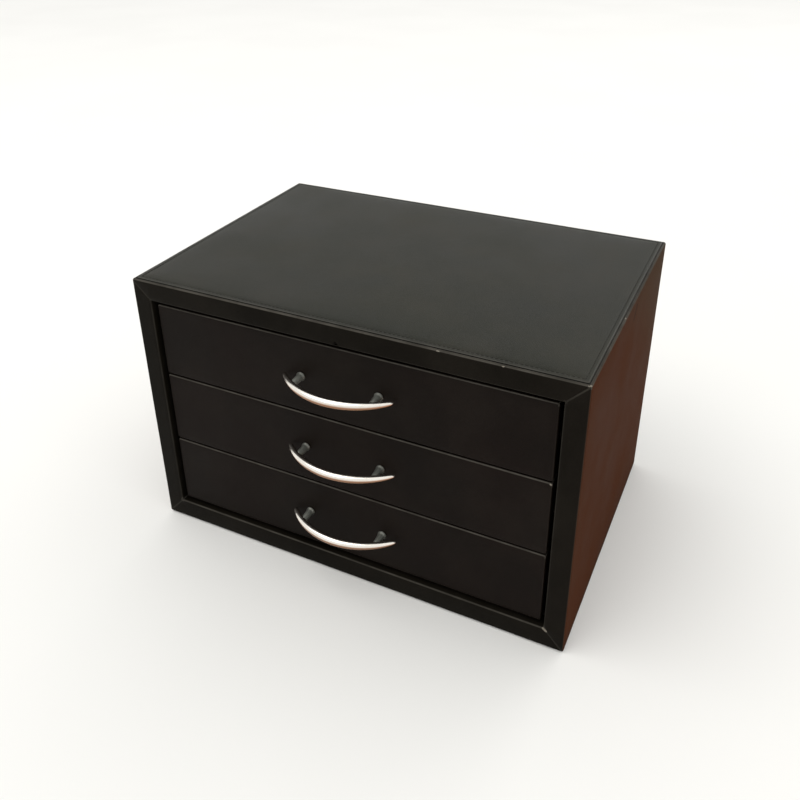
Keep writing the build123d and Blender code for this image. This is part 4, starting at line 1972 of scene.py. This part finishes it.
@dataclass
class Woodwork:
    """CAD boards, runners and screws that stay, with finishes of their own."""

    groups: Groups

    def boards(
        self, name: str, colour: Colour, dark: Colour, roughness: float, rings: float
    ) -> dict[Axis, bpy.types.Material]:
        """One kind of board, with its grain along each axis.

        Args:
            name: Start of the materials' names.
            colour: Colour between the rings.
            dark: Colour of the rings.
            roughness: Middle roughness.
            rings: How close the rings are.

        Returns:
            The material for each axis.
        """
        made = {}
        for axis in Axis:
            finish = WoodFinish(f"{name}_{axis.name}", colour, dark, roughness, axis, rings=rings)
            made[axis] = finish.make(self.groups)
        return made

    def build(self, nodes: dict[str, bpy.types.Object]) -> None:
        """Dress every CAD node by its name.

        Args:
            nodes: CAD objects by name.
        """
        runner = WoodFinish("waxed_hardwood", (0.060, 0.043, 0.032), (0.032, 0.022, 0.016), 0.42, Axis.Y)
        steel = MetalFinish("zinc_screw", (0.58, 0.58, 0.57), (0.42, 0.41, 0.38), 0.32)
        carcass = self.boards("carcass_board", (0.055, 0.047, 0.040), (0.040, 0.034, 0.029), 0.62, 90.0)
        stained = self.boards("stained_board", (0.030, 0.026, 0.023), (0.018, 0.015, 0.013), 0.48, 140.0)
        waxed = runner.make(self.groups)
        zinc = steel.make(self.groups)
        for name, node in nodes.items():
            size = Box.of_nodes(name).size
            longest = max(Axis, key=lambda axis: size[axis.value])
            if name.endswith("screws"):
                dress(node, zinc)
            elif name.endswith("runner"):
                dress(node, waxed)
            elif name.startswith("drawer"):
                dress(node, stained[longest])
            else:
                dress(node, carcass[longest])
        LOG.info("dressed %d CAD nodes", len(nodes))


@dataclass
class JewelryChest:
    """The whole chest, built piece by piece."""

    groups: Groups
    nodes: dict[str, bpy.types.Object]
    chips: tuple[tuple[float, float], ...] = ((76.9 * MM, 2.0 * MM), (122.1 * MM, 1.5 * MM))
    chip_drop: float = 0.4 * MM
    spot_depth: float = -27.0 * MM
    slit_start: tuple[float, float] = (11.0 * MM, 224.5 * MM)
    slit_run: tuple[float, float] = (-7.0 * MM, -9.5 * MM)
    slit_radius: float = 2.2 * MM
    chipped_drawer: int = 2
    case: Box = field(init=False)
    opening: Box = field(init=False)

    def __post_init__(self) -> None:
        """Find the case's outside and its opening from the leather of its walls."""
        self.case = Box.of_nodes(*[wall.value for wall in Wall])
        left, right = Box.of_nodes(Wall.LEFT.value), Box.of_nodes(Wall.RIGHT.value)
        bottom, top = Box.of_nodes(Wall.BOTTOM.value), Box.of_nodes(Wall.TOP.value)
        low = Vector((left.high.x, self.case.low.y, bottom.high.z))
        high = Vector((right.low.x, self.case.high.y, top.low.z))
        self.opening = Box(low, high)

    def mitres(self) -> tuple[Mark, ...]:
        """Faint painted highlights along the mitres, where the leather of two walls meets on the front.

        Returns:
            One mark for each corner of the front.
        """
        case, opening = self.case, self.opening
        lines = []
        for inner_x, outer_x in ((opening.low.x, case.low.x), (opening.high.x, case.high.x)):
            for inner_z, outer_z in ((opening.low.z, case.low.z), (opening.high.z, case.high.z)):
                start = Vector((inner_x, case.low.y, inner_z))
                run = Vector((outer_x, case.low.y, outer_z)) - start
                lines.append(Mark(start, run, 0.6 * MM, 0.5))
        return tuple(lines)

    def case_marks(self) -> tuple[Mark, ...]:
        """Scuffs of the case.

        Chips on the front top edge have a place and a length along it.

        Returns:
            One mark for each scuff.
        """
        front, top, right = self.case.low.y, self.case.high.z, self.case.high.x
        chips = [
            Mark(Vector((place, front, top - self.chip_drop)), Vector((length, 0, 0)), 1.0 * MM)
            for place, length in self.chips
        ]
        top_corner = Vector((right - 3.0 * MM, front, top))
        low_corner = Vector((self.opening.high.x - 1.5 * MM, front, self.opening.low.z + 1.0 * MM))
        spot = Vector((right - 1.1 * MM, self.spot_depth, top))
        return (
            *chips,
            Mark(top_corner, Vector((2.6 * MM, 1.0 * MM, 0)), 1.4 * MM),
            Mark(low_corner, Vector((3.5 * MM, 0, -3.0 * MM)), 0.9 * MM, 0.6),
            Mark(spot, Vector((0, 1.0 * MM, 0)), 1.0 * MM),
        )

    def cover_case(self) -> None:
        """Cover the case's walls and back in leather."""
        slit_start = Vector((self.case.high.x, *self.slit_start))
        slit = Mark(slit_start, Vector((0, *self.slit_run)), self.slit_radius)
        finish = LeatherFinish(
            "case_leather",
            self.case,
            marks=self.case_marks(),
            slits=(slit,),
            creases=self.mitres(),
            opening=self.opening,
            # brown and olive on the sides: painted reflection of a warm floor
            side_reflection=PaintedSideReflection((0.053, 0.0150, 0.0032), (0.050, 0.0280, 0.0135)),
        )
        CaseCovering(finish.make(self.groups)).build()

    def cover_top(self) -> None:
        """Lay the sewn panel on the top."""
        panel = Box.of_nodes("top_leather_panel")
        finish = LeatherFinish(
            "top_leather",
            panel,
            # lighter and greener than the walls' leather: partly a painted reflection of the light from above
            colour=(0.0098, 0.0104, 0.0058),
            high_colour=(0.0150, 0.0156, 0.0094),
            # painted highlight along the panel's rolled edge
            painted_highlight_colour=(0.050, 0.048, 0.040),
            gloss=0.155,
            roughness=0.42,
            bare=-0.15,
            dust=0.06,
            shaded_below=panel.high.z - 0.3 * MM,
        )
        thread = VelvetFinish(
            "waxed_thread", (0.022, 0.020, 0.017), (0.034, 0.031, 0.027), 0.1, (0.5, 0.5, 0.5), 0.02 * MM
        )
        TopPanel(finish.make(self.groups), thread.make(self.groups)).build()

    def cover_front(self, number: int) -> None:
        """Wrap one drawer's front in leather.

        Args:
            number: Number of the drawer, from the top.
        """
        box = Box.of_nodes(f"drawer_{number}_front_leather")
        corner = Vector((box.high.x - 1.5 * MM, box.low.y, box.high.z - 0.8 * MM))
        chip = Mark(corner, Vector((1.0 * MM, 0, -0.5 * MM)), 1.0 * MM)
        finish = LeatherFinish(
            f"drawer_{number}_leather",
            box,
            colour=(0.0046, 0.0027, 0.0017),
            high_colour=(0.0066, 0.0036, 0.0025),
            gloss=0.06,
            bare=-0.15,
            marks=(chip,) if number == self.chipped_drawer else (),
        )
        FrontCovering(number, finish.make(self.groups)).build()

    def build(self) -> None:
        """Build every sub-assembly."""
        Woodwork(self.groups).build(self.nodes)
        self.cover_case()
        self.cover_top()
        pile, brushed = (0.30, 0.235, 0.17), (0.38, 0.305, 0.225)
        velvet = VelvetFinish("lining_velvet", pile, brushed, 0.5, (0.95, 0.85, 0.7)).make(self.groups)
        for number in (1, 2, 3):
            self.cover_front(number)
            Lining(number, velvet).build()
        nickel = MetalFinish(
            # dark copper underside: painted reflection
            "polished_nickel", (0.90, 0.86, 0.80), (0.78, 0.73, 0.66), 0.12, underside_reflection=(0.32, 0.17, 0.10)
        )
        BowHandle(nickel.make(self.groups)).build()
        grey, pale = (0.016, 0.016, 0.016), (0.026, 0.026, 0.025)
        felt = VelvetFinish("pressed_felt", grey, pale, 0.25, (0.7, 0.7, 0.7))
        BaseFelt(felt.make(self.groups)).build()


def main() -> None:
    """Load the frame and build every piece."""
    logging.basicConfig(level=logging.INFO, format="%(message)s")
    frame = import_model()
    Studio().build()
    JewelryChest(Groups(), frame["nodes"]).build()


if __name__ == "__main__":
    main()
